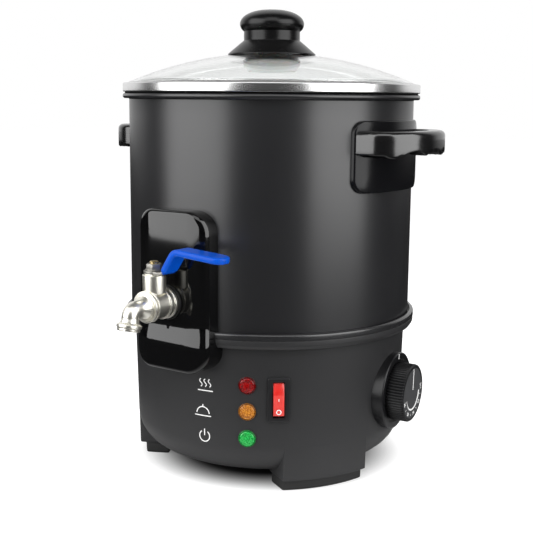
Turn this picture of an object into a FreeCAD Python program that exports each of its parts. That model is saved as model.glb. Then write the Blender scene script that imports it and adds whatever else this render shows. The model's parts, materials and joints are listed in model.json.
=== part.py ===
import FreeCAD, Part
import math
import os

from FreeCAD import Placement, Rotation
from FreeCAD import Vector as V

# Electric wax melter: a lidded pot in a steel shell on a moulded three-footed base, with a
# ball-valve tap, two loop handles, a thermostat dial, three lamps and a rocker switch.
# Millimetres. The pot's axis is the Z axis, the worktop is z = 0 and the tap points to -Y.

# ------------------------------------------------------------------ fits
SEAT = 0.1           # play between curved faces that seat on each other
PLAY = 0.3           # play between pieces of different bodies
SHAFT_PLAY = 0.05    # radial running clearance of a shaft in its bore

# ------------------------------------------------------------------ main size
SHELL_R = 106.2      # the shell's outer radius, which every other radius follows

# ------------------------------------------------------------------ base housing
BASE_R = SHELL_R - 3.9   # outer radius of the base wall at BASE_REF_Z
BASE_REF_Z = 60.0
BASE_DRAFT = 1.4     # degrees the wall leans out as it rises
BASE_WALL = 3.0
BOWL_Z = 11.0        # underside of the bowl
BOWL_FILLET = 24.0
FLOOR = 4.0          # thickness of the moulded floor
COLLAR_R = SHELL_R + 4.0
COLLAR_FOOT_Z = 104.0
COLLAR_LIP = 0.9     # overhang of the collar's foot over the wall below it
COLLAR_FLARE_Z = 108.5   # where the collar's flare ends and it runs straight up
COLLAR_TOP_Z = 111.0
COLLAR_BULGE = 1.3   # how far the collar's flare bows out of its chord
SHELF_Z = 108.5      # shelf that carries the heat shield and the shell
SHELF_T = 4.0
SHELF_R = SHELL_R - 15.2
FOOT_W = 66.0
FOOT_R = BASE_R - 30.3   # inner end of a foot
FOOT_Z = 8.4         # underside of a foot, on top of its pad
FOOT_TOP_Z = 55.0
FOOT_EDGE = 1.2
FOOT_CORNER = 3.0
FOOT_AZ = (61.0, 180.0, 298.0)
PAD_FACE_INSET = 4.5     # pad's outer face behind the foot's
PAD_SIDE_INSET = 1.3
PAD_EDGE = 1.8
PAD_CORNER = 2.4

# ------------------------------------------------------------------ bottom cover
BOSS_R = 4.5
BOSS_MARGIN = 6.5        # of the bosses' circle from the feet, outside the boss itself
BOSS_CIRCLE_R = FOOT_R - BOSS_MARGIN - BOSS_R
BOTTOM_COVER_R = BOSS_CIRCLE_R + BOSS_R + 0.5
COVER_OPENING_R = BOSS_CIRCLE_R - BOSS_R - 0.5
BOTTOM_COVER_T = 2.0
BOSS_H = 9.0
BOSS_AZ = (0.0, 120.0, 240.0)
COVER_SCREW_R = 1.7
COVER_SCREW_HEAD_R = 3.2
COVER_SCREW_HEAD_T = 1.8
COVER_SCREW_L = 8.0
VENT_COUNT = 14
VENT_W = 3.2
VENT_R_IN = 20.0
VENT_R_OUT = COVER_OPENING_R - 12.0

# ------------------------------------------------------------------ collar ring
RING_R = SHELL_R + 4.2
RING_LIP_R = SHELL_R + 1.4
RING_H = 4.9
RING_WEB = 1.5

# ------------------------------------------------------------------ outer shell
SHELL_T = 1.0
SHELL_FLANGE_R = SHELL_R - 12.2
BEAD_Z = 274.1
BEAD_TUBE_R = 2.1
BEAD_OUT_R = SHELL_R + 4.7

# ------------------------------------------------------------------ pot
POT_R = SHELL_R - 8.2    # inside radius
POT_T = 0.8
POT_FLOOR_Z = 115.0
POT_CORNER = 8.0
POT_RIM_R = SHELL_R + 2.2
POT_RIM_FILLET = 1.6
STUD_R = 3.0
STUD_TAIL = 1.5      # stud left showing past its nut
GASKET_T = 0.5
GASKET_LIP = 0.8
SLEEVE_Z0 = 126.0
SLEEVE_Z1 = 268.0

# ------------------------------------------------------------------ heater
HEATER_INSET = 18.0      # of the heater plate's edge from the pot's wall
HEATER_R = POT_R - HEATER_INSET
HEATER_T = 6.0
CLAMP_INSET = 28.0
CLAMP_R = POT_R - CLAMP_INSET
ELEMENT_INSET = 14.0     # of the element's ring from the clamp plate's edge
ELEMENT_R = CLAMP_R - ELEMENT_INSET
ELEMENT_TUBE_R = 4.0
ELEMENT_GAP = 34.0   # degrees left open between the element's ends
ELEMENT_LEG = 24.0
CLAMP_T = 1.2
CLAMP_NUT_AC = 11.0
CLAMP_NUT_H = 4.6
SHIELD_T = 0.8
SHIELD_DISH = 22.5
SHIELD_FLAT_R = SHELF_R - 9.0
LEG_HOLE_R = 6.0
CUTOUT_R = 8.0
CUTOUT_H = 7.0
CUTOUT_X = 30.0
BULB_R = 3.0
BULB_L = 62.0
BULB_Y = -34.0
CLIP_W = 8.0
CLIP_T = 0.8

# ------------------------------------------------------------------ lid
BAND_R = SHELL_R + 4.6
BAND_T = 0.8
BAND_LOW_EDGE = 1.4
BAND_TOP_EDGE = 1.0
BAND_LIP_R = BAND_R - 4.6
SKIRT_R = POT_R - 0.6
SKIRT_DEPTH = 6.0
DOME_TOP_Z = 306.0
DOME_R = 268.0
DOME_BREAK_R = BAND_R - 20.8     # where the dome turns down to its ground rim
GLASS_RIM_R = BAND_R - 7.0       # inner edge of the ground rim
GLASS_BULGE = 0.5
GLASS_T = 4.2
GLASS_HOLE_R = 4.0
KNOB_SKIRT_R = 33.0
KNOB_SKIRT_EDGE = 1.0
KNOB_SKIRT_TOP_R = 22.0
KNOB_CONE_H = 9.0
KNOB_NECK_R = 20.9
KNOB_NECK_H = 7.2
CAP_R = 23.9
CAP_H = 16.2
CAP_CORNER = 6.5
CAP_CROWN = 1.3
KNOB_WALL = 3.0
SEAL_R = 20.0
SEAL_T = 1.4
CUP_R = 21.5
CUP_FOOT_R = 18.0
CUP_H = 6.6
CUP_T = 1.6
LID_SCREW_R = 2.5
LID_SCREW_HEAD_R = 5.0
LID_SCREW_HEAD_T = 3.2
LID_SCREW_BITE = 14.0

# ------------------------------------------------------------------ tap cover
TAP_COVER_W = 61.0
TAP_COVER_Z0 = 86.7
TAP_COVER_Z1 = 198.0
TAP_COVER_DEPTH = 12.0
TAP_COVER_FACE = SHELL_R + TAP_COVER_DEPTH  # distance of the crowned face from the pot's axis
TAP_COVER_BACK = 25.0    # how far its uncut box runs into the shell
TAP_COVER_CROWN = 1.2
TAP_COVER_CORNER = 15.0
TAP_COVER_EDGE = 5.0
TAP_COVER_WALL = 2.5

# ------------------------------------------------------------------ tap, distances from the pot's axis
TAP_Z = 135.0
SHANK_R = 8.0
SHANK_TAIL = 10.5        # of the threaded shank inside the pot
SHANK_END = POT_R - SHANK_TAIL
BORE_R = 3.8
TAP_GASKET_R = 12.0
TAP_GASKET_T = 1.5
FLANGE_R = 10.8
FLANGE_T = 2.2
BARREL_R = 9.8
FRONT_RING_R = 10.8
STEM_STANDOFF = 13.5     # of the stem from the cover's face
STEM_DIST = TAP_COVER_FACE + STEM_STANDOFF
BARREL_FRONT = 9.8       # of the barrel's front end from the stem
FRONT_RING_END = STEM_DIST + BARREL_FRONT
BALL_R = 5.8
CHAMBER_R = 7.6
SEAT_RING_T = 2.4
TAIL_R = 7.5
BONNET_R = 7.9
BONNET_TOP = 21.0        # above the tap's axis
GLAND_R = 5.2
GLAND_DEPTH = 4.0
GLAND_HEX = 6.6
GLAND_PROUD = 0.7
STEM_R = 3.0
STEM_TOP = 30.2          # above the tap's axis
NECK_R0 = 8.6
NECK_R1 = 5.4
NECK_L = 8.5
KNEE_REACH = 22.3        # of the knee from the stem
KNEE_DIST = STEM_DIST + KNEE_REACH
KNEE_R = 7.0
SPOUT_TILT = 13.0        # degrees out of plumb
SPOUT_L = 13.8
SPOUT_R0 = 5.9
SPOUT_R1 = 6.9
SPOUT_COLLAR_R = 8.3
SPOUT_COLLAR_H = 4.4
SPOUT_BORE_R = 4.7
SPOUT_BORE_L = 9.2
SPACER_R = 11.5
INNER_GASKET_T = 2.0
INNER_GASKET_R = 12.0
LOCKNUT_AC = 26.0
LOCKNUT_H = 5.0

# ------------------------------------------------------------------ tap lever
STRAP_T = 2.0
STRAP_RING_R = 7.0
STRAP_W0 = 12.0
STRAP_W1 = 13.6
STRAP_RISE = 15.9
STRAP_BEND_IN = 11.8     # where the strap starts to rise
STRAP_BEND_OUT = 22.4
STRAP_BEND_R = 5.0       # inside radius of the strap's two bends
STRAP_DROP = 2.6         # fall of the paddle from its knee to its end
STRAP_L = 61.0
SLEEVE_T = 1.2           # vinyl over the strap
SLEEVE_START = 12.6
SLEEVE_EDGE = 1.4
LEVER_NUT_AC = 10.8
LEVER_NUT_H = 4.7

# ------------------------------------------------------------------ handles
PLATE_HALF_W = 43.0
PLATE_Z0 = 209.2
PLATE_Z1 = 258.3
PLATE_R = SHELL_R + 3.2
PLATE_BACK = 46.0        # how far its uncut box runs into the shell
PLATE_CORNER = 9.0
PLATE_EDGE = 0.6
GRIP_DEPTH = 28.7        # from the plate's face to the grip's outermost point
GRIP_REACH = PLATE_R + GRIP_DEPTH
GRIP_T = 12.2
GRIP_Z0 = 235.4
GRIP_Z1 = 251.6
GRIP_EDGE = 3.8          # rounding of the outer top edge
GRIP_LOW_EDGE = 1.4      # rounding of the outer bottom edge
GRIP_HOLE_EDGE = 1.6
SCALLOP_PITCH = 19.6
SCALLOP_COUNT = 3
SCALLOP_DEPTH = 2.8
SCALLOP_TOOTH_R = 3.0    # rounding of the ridges between the scallops
HANDLE_SCREW_R = 2.5
HANDLE_SCREW_HEAD_R = 4.5
HANDLE_SCREW_HEAD_T = 2.2
HANDLE_SCREW_BITE = 2.2
HANDLE_SCREW_Z = (218.0, 228.0)

# ------------------------------------------------------------------ lamps
LAMP_AZ = 27.6
LAMP_Z = {"red": 78.3, "amber": 59.5, "green": 40.1}
LAMP_RIM_R = 6.2
LAMP_RIM_T = 0.9
LAMP_DOME_R = 5.2
LAMP_DOME_H = 1.9
LAMP_BARREL_R = 4.6
LAMP_BARREL_L = 22.0
LAMP_CLIP_R = 6.4
LAMP_CLIP_T = 2.4

# ------------------------------------------------------------------ rocker switch
SWITCH_AZ = 39.7
SWITCH_Z = 68.5
SWITCH_W = 15.2
SWITCH_H = 31.3
SWITCH_RIM_T = 1.8
SWITCH_BODY_W = 11.6
SWITCH_BODY_H = 27.0
SWITCH_BODY_L = 24.0
ROCKER_W = 7.4
ROCKER_H = 24.8
ROCKER_PROUD = 2.6       # crest of the rocker above the rim
ROCKER_CREST_Y = 3.0
ROCKER_ANGLE = 11.0      # half of the rocker's swing
ROCKER_PIVOT_DEPTH = 5.0
ROCKER_PIN_R = 1.2
ROCKER_DEPTH = 5.5

# ------------------------------------------------------------------ thermostat and dial
DIAL_AZ = 97.8
DIAL_Z = 60.9
DIAL_RIM_R = 28.4
DIAL_RIM_FACE = 5.0      # rim's face above the base wall
DIAL_RECESS_R = 23.4
DIAL_RECESS = 1.8
KNOB_R = 21.3
KNOB_FACE = 17.2         # knob's face above the base wall
KNOB_RIBS = 60
KNOB_RIB_DEPTH = 0.7
KNOB_EDGE = 1.6
KNOB_HUB_R = 5.5
KNOB_SHELL = 2.2
SPINDLE_R = 3.0
SPINDLE_FLAT = 1.5       # depth of the flat on the spindle's end
SPINDLE_BITE = 12.5
STAT_NECK_R = 7.5
STAT_W = 34.0
STAT_H = 30.0
STAT_L = 26.0
STAT_BACK = 6.5          # front of the thermostat's case behind the base wall

# ------------------------------------------------------------------ mains inlet
INLET_AZ = 180.0
INLET_Z = 66.0
INLET_FLANGE_W = 50.0
INLET_FLANGE_H = 22.4
INLET_FLANGE_T = 2.4
INLET_PAD = 1.4          # moulded flat's height above the wall at its middle
INLET_PAD_MARGIN = 2.0
INLET_BODY_W = 27.0
INLET_BODY_H = 19.6
INLET_BODY_L = 22.0
INLET_RECESS_W = 24.6
INLET_RECESS_H = 16.6
INLET_RECESS_D = 17.0
INLET_RECESS_CHAMFER = 4.0
PIN_W = 2.0
PIN_H = 4.0
PIN_L = 12.5
PIN_TAIL = 8.0
PIN_PLACES = ((-7.0, -2.0), (7.0, -2.0), (0.0, 2.0))
INLET_SCREW_PITCH = 40.0
INLET_SCREW_R = 1.6
INLET_SCREW_HEAD_R = 3.0
INLET_SCREW_HEAD_T = 1.4
INLET_SCREW_L = 9.0

# ------------------------------------------------------------------ terminal block
BLOCK_W = 36.0
BLOCK_D = 17.0
BLOCK_H = 15.0
BLOCK_WAYS = 4
BLOCK_HOLE_R = 1.8

# ------------------------------------------------------------------ derived levels
DRAFT_SLOPE = math.tan(math.radians(BASE_DRAFT))
SHIELD_TOP_Z = SHELF_Z + SHIELD_T
SHELL_BOTTOM_Z = SHIELD_TOP_Z
BEAD_R = BEAD_OUT_R - BEAD_TUBE_R
BEAD_TOP_Z = BEAD_Z + BEAD_TUBE_R
RIM_TOP_Z = BEAD_TOP_Z + POT_T
GASKET_TOP_Z = RIM_TOP_Z + GASKET_T
GASKET_R = POT_RIM_R + GASKET_LIP
POT_UNDER_Z = POT_FLOOR_Z - POT_T
HEATER_Z = POT_UNDER_Z - HEATER_T
CLAMP_TOP_Z = HEATER_Z - 2 * ELEMENT_TUBE_R
CLAMP_Z = CLAMP_TOP_Z - CLAMP_T
STUD_END_Z = CLAMP_Z - CLAMP_NUT_H - STUD_TAIL
BAND_Z = GASKET_TOP_Z
GLASS_UNDER_Z = BAND_Z + BAND_T
GLASS_EDGE_Z = GLASS_UNDER_Z + GLASS_T
BAND_TOP_Z = GLASS_EDGE_Z + BAND_T
GLASS_EDGE_R = BAND_R - BAND_T - SEAT
COVER_FLOOR_Z = BOWL_Z + BOTTOM_COVER_T
FLOOR_TOP_Z = BOWL_Z + FLOOR
TAP_GASKET_FACE = TAP_COVER_FACE + TAP_GASKET_T
TAP_FLANGE_FACE = TAP_GASKET_FACE + FLANGE_T
STRAP_Z = TAP_Z + BONNET_TOP + GLAND_PROUD + SEAT
STRAP_TOP_Z = STRAP_Z + STRAP_T


# ------------------------------------------------------------------ helpers
def base_r(z):
    """Outer radius of the base wall at height z."""
    return BASE_R + (z - BASE_REF_Z) * DRAFT_SLOPE


def dome_z(r, drop=0.0):
    """Height of the lid's dome at radius r, on a sphere drop below the outside."""
    return DOME_TOP_Z - DOME_R + math.sqrt((DOME_R - drop) ** 2 - r * r)


def arc_radius(half_width, height):
    """Radius of the arc that rises by height over a chord of twice half_width."""
    return (half_width ** 2 + height ** 2) / (2 * height)


def on_arc(cx, cy, r, degrees):
    a = math.radians(degrees)
    return (cx + r * math.cos(a), cy + r * math.sin(a))


def face(start, *steps, lift=lambda a, b: V(a, 0, b)):
    """Flat face from a start point and steps: a point is a line, (middle, end) is an arc."""
    edges = []
    here = start
    for step in steps + (start,):
        if isinstance(step[0], tuple):
            middle, end = step
            edges.append(Part.Arc(lift(*here), lift(*middle), lift(*end)).toShape())
        else:
            end = step
            if math.dist(here, end) < 1e-6:
                continue
            edges.append(Part.LineSegment(lift(*here), lift(*end)).toShape())
        here = end
    return Part.Face(Part.Wire(edges))


def turned(start, *steps):
    """Solid of revolution about Z from a profile of (radius, height) points."""
    return face(start, *steps).revolve(V(0, 0, 0), V(0, 0, 1), 360)


def tube(r_in, r_out, z0, z1):
    return turned((r_in, z0), (r_out, z0), (r_out, z1), (r_in, z1))


def rod(r, z0, z1, x=0.0, y=0.0):
    return Part.makeCylinder(r, z1 - z0, V(x, y, z0))


def block(x0, x1, y0, y1, z0, z1):
    return Part.makeBox(x1 - x0, y1 - y0, z1 - z0, V(x0, y0, z0))


def prism(across_corners, sides, z0, z1):
    """Upright prism with its corners on a circle."""
    r = across_corners / 2
    corners = [on_arc(0, 0, r, 360.0 * i / sides) for i in range(sides)]
    flat = face(*corners, lift=lambda a, b: V(a, b, z0))
    return flat.extrude(V(0, 0, z1 - z0))


def rounded_block(w, h, r, z0, z1):
    """Block centred on the Z axis with its four upright edges rounded."""
    box = block(-w / 2, w / 2, -h / 2, h / 2, z0, z1)
    upright = [e for e in box.Edges if abs(e.tangentAt(e.FirstParameter).z) > 0.99]
    return box.makeFillet(r, upright)


def stand(az, z=0.0, dist=0.0, tilt=0.0):
    """Frame on the object: x runs round it, y up it and z away from its axis at azimuth az."""
    a, t = math.radians(az), math.radians(tilt)
    sin_a, cos_a, sin_t, cos_t = math.sin(a), math.cos(a), math.sin(t), math.cos(t)
    along = V(cos_a, sin_a, 0)
    out = V(cos_t * sin_a, -cos_t * cos_a, -sin_t)
    up = out.cross(along)
    place = Placement(V(dist * sin_a, -dist * cos_a, z), Rotation(along, up, out, "ZXY"))
    return place


def on_wall(az, z):
    """Frame on the outside of the base wall, square to it."""
    return stand(az, z, base_r(z), BASE_DRAFT)


def placed(shape, place):
    """Copy of a shape moved from its own frame into the object's."""
    moved = shape.copy()
    moved.transformShape(place.toMatrix())
    return moved


def spun(shape, degrees):
    """Copy of a shape turned about the pot's axis."""
    copy = shape.copy()
    copy.rotate(V(0, 0, 0), V(0, 0, 1), degrees)
    return copy


def group(shapes):
    return Part.makeCompound(list(shapes))


# ------------------------------------------------------------------ base
def base_outline(grow=0.0):
    """Solid inside the base's outer skin, without its feet, grown by a clearance."""
    lean = math.radians(BASE_DRAFT)
    cz = BOWL_Z + BOWL_FILLET
    cx = base_r(cz) - BOWL_FILLET / math.cos(lean)
    r = BOWL_FILLET + grow
    middle = on_arc(cx, cz, r, -(90 + BASE_DRAFT) / 2)
    top = on_arc(cx, cz, r, -BASE_DRAFT)
    root = (base_r(COLLAR_FOOT_Z) + grow, COLLAR_FOOT_Z - grow)
    foot = (root[0] + COLLAR_LIP, root[1])
    brow = (COLLAR_R + grow, COLLAR_FLARE_Z - grow)
    bow = ((foot[0] + brow[0]) / 2 + COLLAR_BULGE, (foot[1] + brow[1]) / 2 - COLLAR_BULGE)
    rim = (COLLAR_R + grow, COLLAR_TOP_Z + grow)
    return turned((0, BOWL_Z - grow), (cx, BOWL_Z - grow), (middle, top), root, foot, (bow, brow),
                  rim, (0, rim[1]))


def foot_block(width, r_in, inset, z0, z1):
    """Straight-sided foot whose outer face carries the base wall's draft down."""
    cone = Part.makeCone(base_r(z0) - inset, base_r(z1) - inset, z1 - z0, V(0, 0, z0))
    sides = block(-width / 2, width / 2, -2 * BASE_R, -r_in, z0, z1)
    return cone.common(sides)


def soft_foot(foot, z0, corner, edge):
    """Foot or pad with its outer corners and its lower edges rounded."""
    upright = [e for e in foot.Edges if e.CenterOfMass.y < -FOOT_R - 2 * corner
               and e.BoundBox.ZLength > corner and abs(e.CenterOfMass.x) > corner]
    foot = foot.makeFillet(corner, upright)
    return foot.makeFillet(edge, [e for e in foot.Edges if e.CenterOfMass.z < z0 + 0.01])


def inside_base():
    """Hollow of the base: floor, wall, shelf and the pocket for the shell."""
    r_low = base_r(FLOOR_TOP_Z + BOWL_FILLET) - BASE_WALL
    knee = BOWL_FILLET - BASE_WALL
    c = (r_low - knee, FLOOR_TOP_Z + knee)
    shelf_under = SHELF_Z - SHELF_T
    chamber = turned((0, FLOOR_TOP_Z), (c[0], FLOOR_TOP_Z),
                     (on_arc(c[0], c[1], knee, -45), (r_low, c[1])),
                     (base_r(shelf_under) - BASE_WALL, shelf_under), (0, shelf_under))
    pocket = rod(SHELL_R + SEAT, SHELF_Z, COLLAR_TOP_Z + 1)
    throat = rod(SHELF_R, shelf_under - 1, SHELF_Z + 1)
    opening = rod(COVER_OPENING_R, BOWL_Z - 1, FLOOR_TOP_Z + 1)
    recess = rod(BOTTOM_COVER_R, BOWL_Z - 1, COVER_FLOOR_Z)
    return chamber.multiFuse([pocket, throat, opening, recess])


def wall_openings():
    """Cuts through the base wall for lamps, switch, thermostat and inlet."""
    reach = 2 * BASE_WALL + INLET_PAD
    cuts = [placed(rod(LAMP_BARREL_R + SEAT, -reach, reach), on_wall(LAMP_AZ, z))
            for z in LAMP_Z.values()]
    switch = block(-SWITCH_BODY_W / 2 - SEAT, SWITCH_BODY_W / 2 + SEAT,
                   -SWITCH_BODY_H / 2 - SEAT, SWITCH_BODY_H / 2 + SEAT, -reach, reach)
    cuts.append(placed(switch, on_wall(SWITCH_AZ, SWITCH_Z)))
    cuts.append(placed(rod(STAT_NECK_R + SEAT, -reach, reach), on_wall(DIAL_AZ, DIAL_Z)))
    inlet = block(-INLET_BODY_W / 2 - SEAT, INLET_BODY_W / 2 + SEAT,
                  -INLET_BODY_H / 2 - SEAT, INLET_BODY_H / 2 + SEAT, -4 * reach, reach)
    cuts.append(placed(inlet, on_wall(INLET_AZ, INLET_Z)))
    for x in (-INLET_SCREW_PITCH / 2, INLET_SCREW_PITCH / 2):
        pilot = rod(INLET_SCREW_R, INLET_PAD - INLET_SCREW_L, reach, x)
        cuts.append(placed(pilot, on_wall(INLET_AZ, INLET_Z)))
    return cuts


def base_housing():
    body = base_outline()
    foot = foot_block(FOOT_W, FOOT_R, SEAT, FOOT_Z, FOOT_TOP_Z)
    foot = soft_foot(foot, FOOT_Z, FOOT_CORNER, FOOT_EDGE)
    feet = [spun(foot, az) for az in FOOT_AZ]
    pad_w = INLET_FLANGE_W + 2 * INLET_PAD_MARGIN
    pad_h = INLET_FLANGE_H + 2 * INLET_PAD_MARGIN
    pad = placed(rounded_block(pad_w, pad_h, 3, -2 * BASE_WALL, INLET_PAD),
                 on_wall(INLET_AZ, INLET_Z))
    body = body.multiFuse(feet + [pad]).cut(inside_base())
    bosses = [spun(rod(BOSS_R, COVER_FLOOR_Z, FLOOR_TOP_Z + BOSS_H, 0, -BOSS_CIRCLE_R), az)
              for az in BOSS_AZ]
    backing = placed(rounded_block(pad_w, pad_h, 3, INLET_PAD - INLET_SCREW_L, 0),
                     on_wall(INLET_AZ, INLET_Z)).common(base_outline())
    body = body.multiFuse(bosses + [backing])
    pilots = [spun(rod(COVER_SCREW_R, COVER_FLOOR_Z - 1, COVER_FLOOR_Z + COVER_SCREW_L,
                       0, -BOSS_CIRCLE_R), az) for az in BOSS_AZ]
    return body.cut(wall_openings() + pilots).removeSplitter()


def foot_pads():
    width = FOOT_W - 2 * PAD_SIDE_INSET
    pad = foot_block(width, FOOT_R + PAD_SIDE_INSET, PAD_FACE_INSET, 0, FOOT_Z)
    pad = soft_foot(pad, 0, PAD_CORNER, PAD_EDGE)
    return group(spun(pad, az) for az in FOOT_AZ)


def bottom_cover():
    disc = rod(BOTTOM_COVER_R - SEAT, BOWL_Z, COVER_FLOOR_Z)
    slot = block(-VENT_W / 2, VENT_W / 2, -VENT_R_OUT, -VENT_R_IN, BOWL_Z - 1, COVER_FLOOR_Z + 1)
    ends = [rod(VENT_W / 2, BOWL_Z - 1, COVER_FLOOR_Z + 1, 0, -r)
            for r in (VENT_R_IN, VENT_R_OUT)]
    slot = slot.multiFuse(ends)
    cuts = [spun(slot, 360.0 * i / VENT_COUNT) for i in range(VENT_COUNT)]
    holes = [spun(rod(COVER_SCREW_R + SEAT, BOWL_Z - 1, COVER_FLOOR_Z + 1, 0, -BOSS_CIRCLE_R), az)
             for az in BOSS_AZ]
    return disc.cut(cuts + holes)


def cover_screws():
    head_z = BOWL_Z - COVER_SCREW_HEAD_T
    screw = turned((0, head_z), (COVER_SCREW_HEAD_R - 0.6, head_z),
                   (COVER_SCREW_HEAD_R, head_z + 0.6), (COVER_SCREW_HEAD_R, BOWL_Z),
                   (COVER_SCREW_R, BOWL_Z), (COVER_SCREW_R, COVER_FLOOR_Z + COVER_SCREW_L),
                   (0, COVER_FLOOR_Z + COVER_SCREW_L))
    screw.translate(V(0, -BOSS_CIRCLE_R, 0))
    return group(spun(screw, az) for az in BOSS_AZ)


def collar_ring():
    """Trim ring that closes the joint between the base and the shell."""
    z0, z1 = COLLAR_TOP_Z, COLLAR_TOP_Z + RING_H
    r_in = SHELL_R + SEAT
    web_z = z0 + RING_WEB
    return turned((r_in, z0), (RING_R - 0.5, z0), (RING_R, z0 + 0.5), (RING_R, z1 - 1.8),
                  ((RING_R - 0.5, z1 - 0.5), (RING_R - 1.8, z1)), (RING_LIP_R + 0.5, z1),
                  (RING_LIP_R, z1 - 0.5), (RING_LIP_R, web_z), (r_in, web_z))


def terminal_block():
    """Ceramic connector strip standing on the bottom cover, between its vents."""
    body = block(-BLOCK_W / 2, BLOCK_W / 2, -BLOCK_D / 2, BLOCK_D / 2, 0, BLOCK_H)
    pitch = BLOCK_W / BLOCK_WAYS
    cuts = []
    for i in range(BLOCK_WAYS):
        x = (i + 0.5) * pitch - BLOCK_W / 2
        hole = Part.makeCylinder(BLOCK_HOLE_R, BLOCK_D, V(x, -BLOCK_D / 2, BLOCK_H / 2), V(0, 1, 0))
        cuts += [hole, rod(BLOCK_HOLE_R, BLOCK_H / 2, BLOCK_H, x, -BLOCK_D / 4),
                 rod(BLOCK_HOLE_R, BLOCK_H / 2, BLOCK_H, x, BLOCK_D / 4)]
    body = body.cut(cuts)
    body.translate(V(0, 0, COVER_FLOOR_Z))
    return body


# ------------------------------------------------------------------ shell and pot
def shell():
    """Steel shell: a turned-in foot, a plain wall and a bead rolled out round the top."""
    z0, bead_low = SHELL_BOTTOM_Z, BEAD_Z - BEAD_TUBE_R
    wall = turned((SHELL_FLANGE_R, z0), (SHELL_R, z0), (SHELL_R, bead_low), (BEAD_R, bead_low),
                  ((BEAD_OUT_R, BEAD_Z), (BEAD_R, BEAD_TOP_Z)), (SHELL_R - SHELL_T, BEAD_TOP_Z),
                  (SHELL_R - SHELL_T, z0 + SHELL_T), (SHELL_FLANGE_R, z0 + SHELL_T))
    tap_hole = placed(rod(SHANK_R + SEAT, SHELL_R - 10, SHELL_R + 10), stand(0, TAP_Z))
    return wall.cut([tap_hole] + handle_screw_shafts(SEAT))


def inner_pot():
    """Drawn pot with a rounded floor, a turned-out rim and a stud for the heater."""
    z0, z1, c = POT_UNDER_Z, POT_FLOOR_Z, POT_CORNER
    r_in, r_out = POT_R, POT_R + POT_T
    cx, cz = r_in - c, z1 + c
    f = POT_RIM_FILLET
    body = turned((0, z0), (cx, z0), (on_arc(cx, cz, c + POT_T, -45), (r_out, cz)),
                  (r_out, BEAD_TOP_Z), (POT_RIM_R, BEAD_TOP_Z), (POT_RIM_R, RIM_TOP_Z),
                  (r_in + f, RIM_TOP_Z), (on_arc(r_in + f, RIM_TOP_Z - f, f, 135), (r_in, RIM_TOP_Z - f)),
                  (r_in, cz), (on_arc(cx, cz, c, -45), (cx, z1)), (0, z1))
    stud = rod(STUD_R, STUD_END_Z, z0)
    outlet = placed(rod(SHANK_R + SEAT, POT_R - 12, POT_R + 5), stand(0, TAP_Z))
    return body.fuse(stud).cut(outlet)


def rim_gasket():
    r0 = POT_R + POT_RIM_FILLET + GASKET_LIP
    return turned((r0, RIM_TOP_Z), (POT_RIM_R + SEAT, RIM_TOP_Z), (POT_RIM_R + SEAT, BEAD_TOP_Z),
                  (GASKET_R, BEAD_TOP_Z), (GASKET_R, GASKET_TOP_Z), (r0, GASKET_TOP_Z))


def insulation_sleeve():
    sleeve = tube(POT_R + POT_T + PLAY, SHELL_R - SHELL_T - PLAY, SLEEVE_Z0, SLEEVE_Z1)
    hole = placed(rod(SHANK_R + PLAY, POT_R, SHELL_R), stand(0, TAP_Z))
    heads = handle_screw_heads(PLAY)
    return sleeve.cut([hole] + heads)


# ------------------------------------------------------------------ heater
def heater_plate():
    return tube(STUD_R + SEAT, HEATER_R, HEATER_Z, POT_UNDER_Z)


def element_ends():
    """Places of the element's two legs."""
    half = ELEMENT_GAP / 2
    return [on_arc(0, 0, ELEMENT_R, 90 + side * half) for side in (-1, 1)]


def heating_element():
    """Sheathed ring element with two legs that hang through the heat shield."""
    z = HEATER_Z - ELEMENT_TUBE_R
    start, end = element_ends()
    section = Part.Face(Part.Wire(Part.Circle(V(ELEMENT_R, 0, z), V(0, 1, 0), ELEMENT_TUBE_R).toShape()))
    ring = section.revolve(V(0, 0, 0), V(0, 0, 1), 360 - ELEMENT_GAP)
    ring.rotate(V(0, 0, 0), V(0, 0, 1), 90 + ELEMENT_GAP / 2)
    parts = []
    for x, y in (start, end):
        parts.append(Part.makeSphere(ELEMENT_TUBE_R, V(x, y, z)))
        parts.append(rod(ELEMENT_TUBE_R, z - ELEMENT_LEG, z, x, y))
    return ring.multiFuse(parts)


def clamp_plate():
    disc = tube(STUD_R + SEAT, CLAMP_R, CLAMP_Z, CLAMP_TOP_Z)
    legs = [rod(ELEMENT_TUBE_R + SEAT, CLAMP_Z - 1, CLAMP_TOP_Z + 1, x, y) for x, y in element_ends()]
    return disc.cut(legs)


def clamp_nut():
    nut = prism(CLAMP_NUT_AC, 6, CLAMP_Z - CLAMP_NUT_H, CLAMP_Z)
    return nut.cut(rod(STUD_R, CLAMP_Z - CLAMP_NUT_H - 1, CLAMP_Z + 1))


def heat_shield():
    """Dished plate held under the shell's foot, over the wiring space."""
    z, dish, r = SHELF_Z, SHELF_Z - SHIELD_DISH, SHELF_R - PLAY
    body = turned((0, dish), (SHIELD_FLAT_R, dish), (r, z), (SHELL_R - SHELL_T - PLAY, z),
                  (SHELL_R - SHELL_T - PLAY, z + SHIELD_T), (r - SHIELD_T, z + SHIELD_T),
                  (SHIELD_FLAT_R - SHIELD_T, dish + SHIELD_T), (0, dish + SHIELD_T))
    legs = [rod(LEG_HOLE_R, dish - 1, z, x, y) for x, y in element_ends()]
    return body.cut(legs)


def thermal_cutout():
    """Snap-disc cut-out: a round can with two tabs, against the clamp plate."""
    can = rod(CUTOUT_R, CLAMP_Z - CUTOUT_H, CLAMP_Z, CUTOUT_X, 0)
    tabs = [block(CUTOUT_X + s * 4 - 0.4, CUTOUT_X + s * 4 + 0.4, -3, 3,
                  CLAMP_Z - CUTOUT_H - 3, CLAMP_Z - CUTOUT_H) for s in (-1, 1)]
    return can.multiFuse(tabs)


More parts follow.
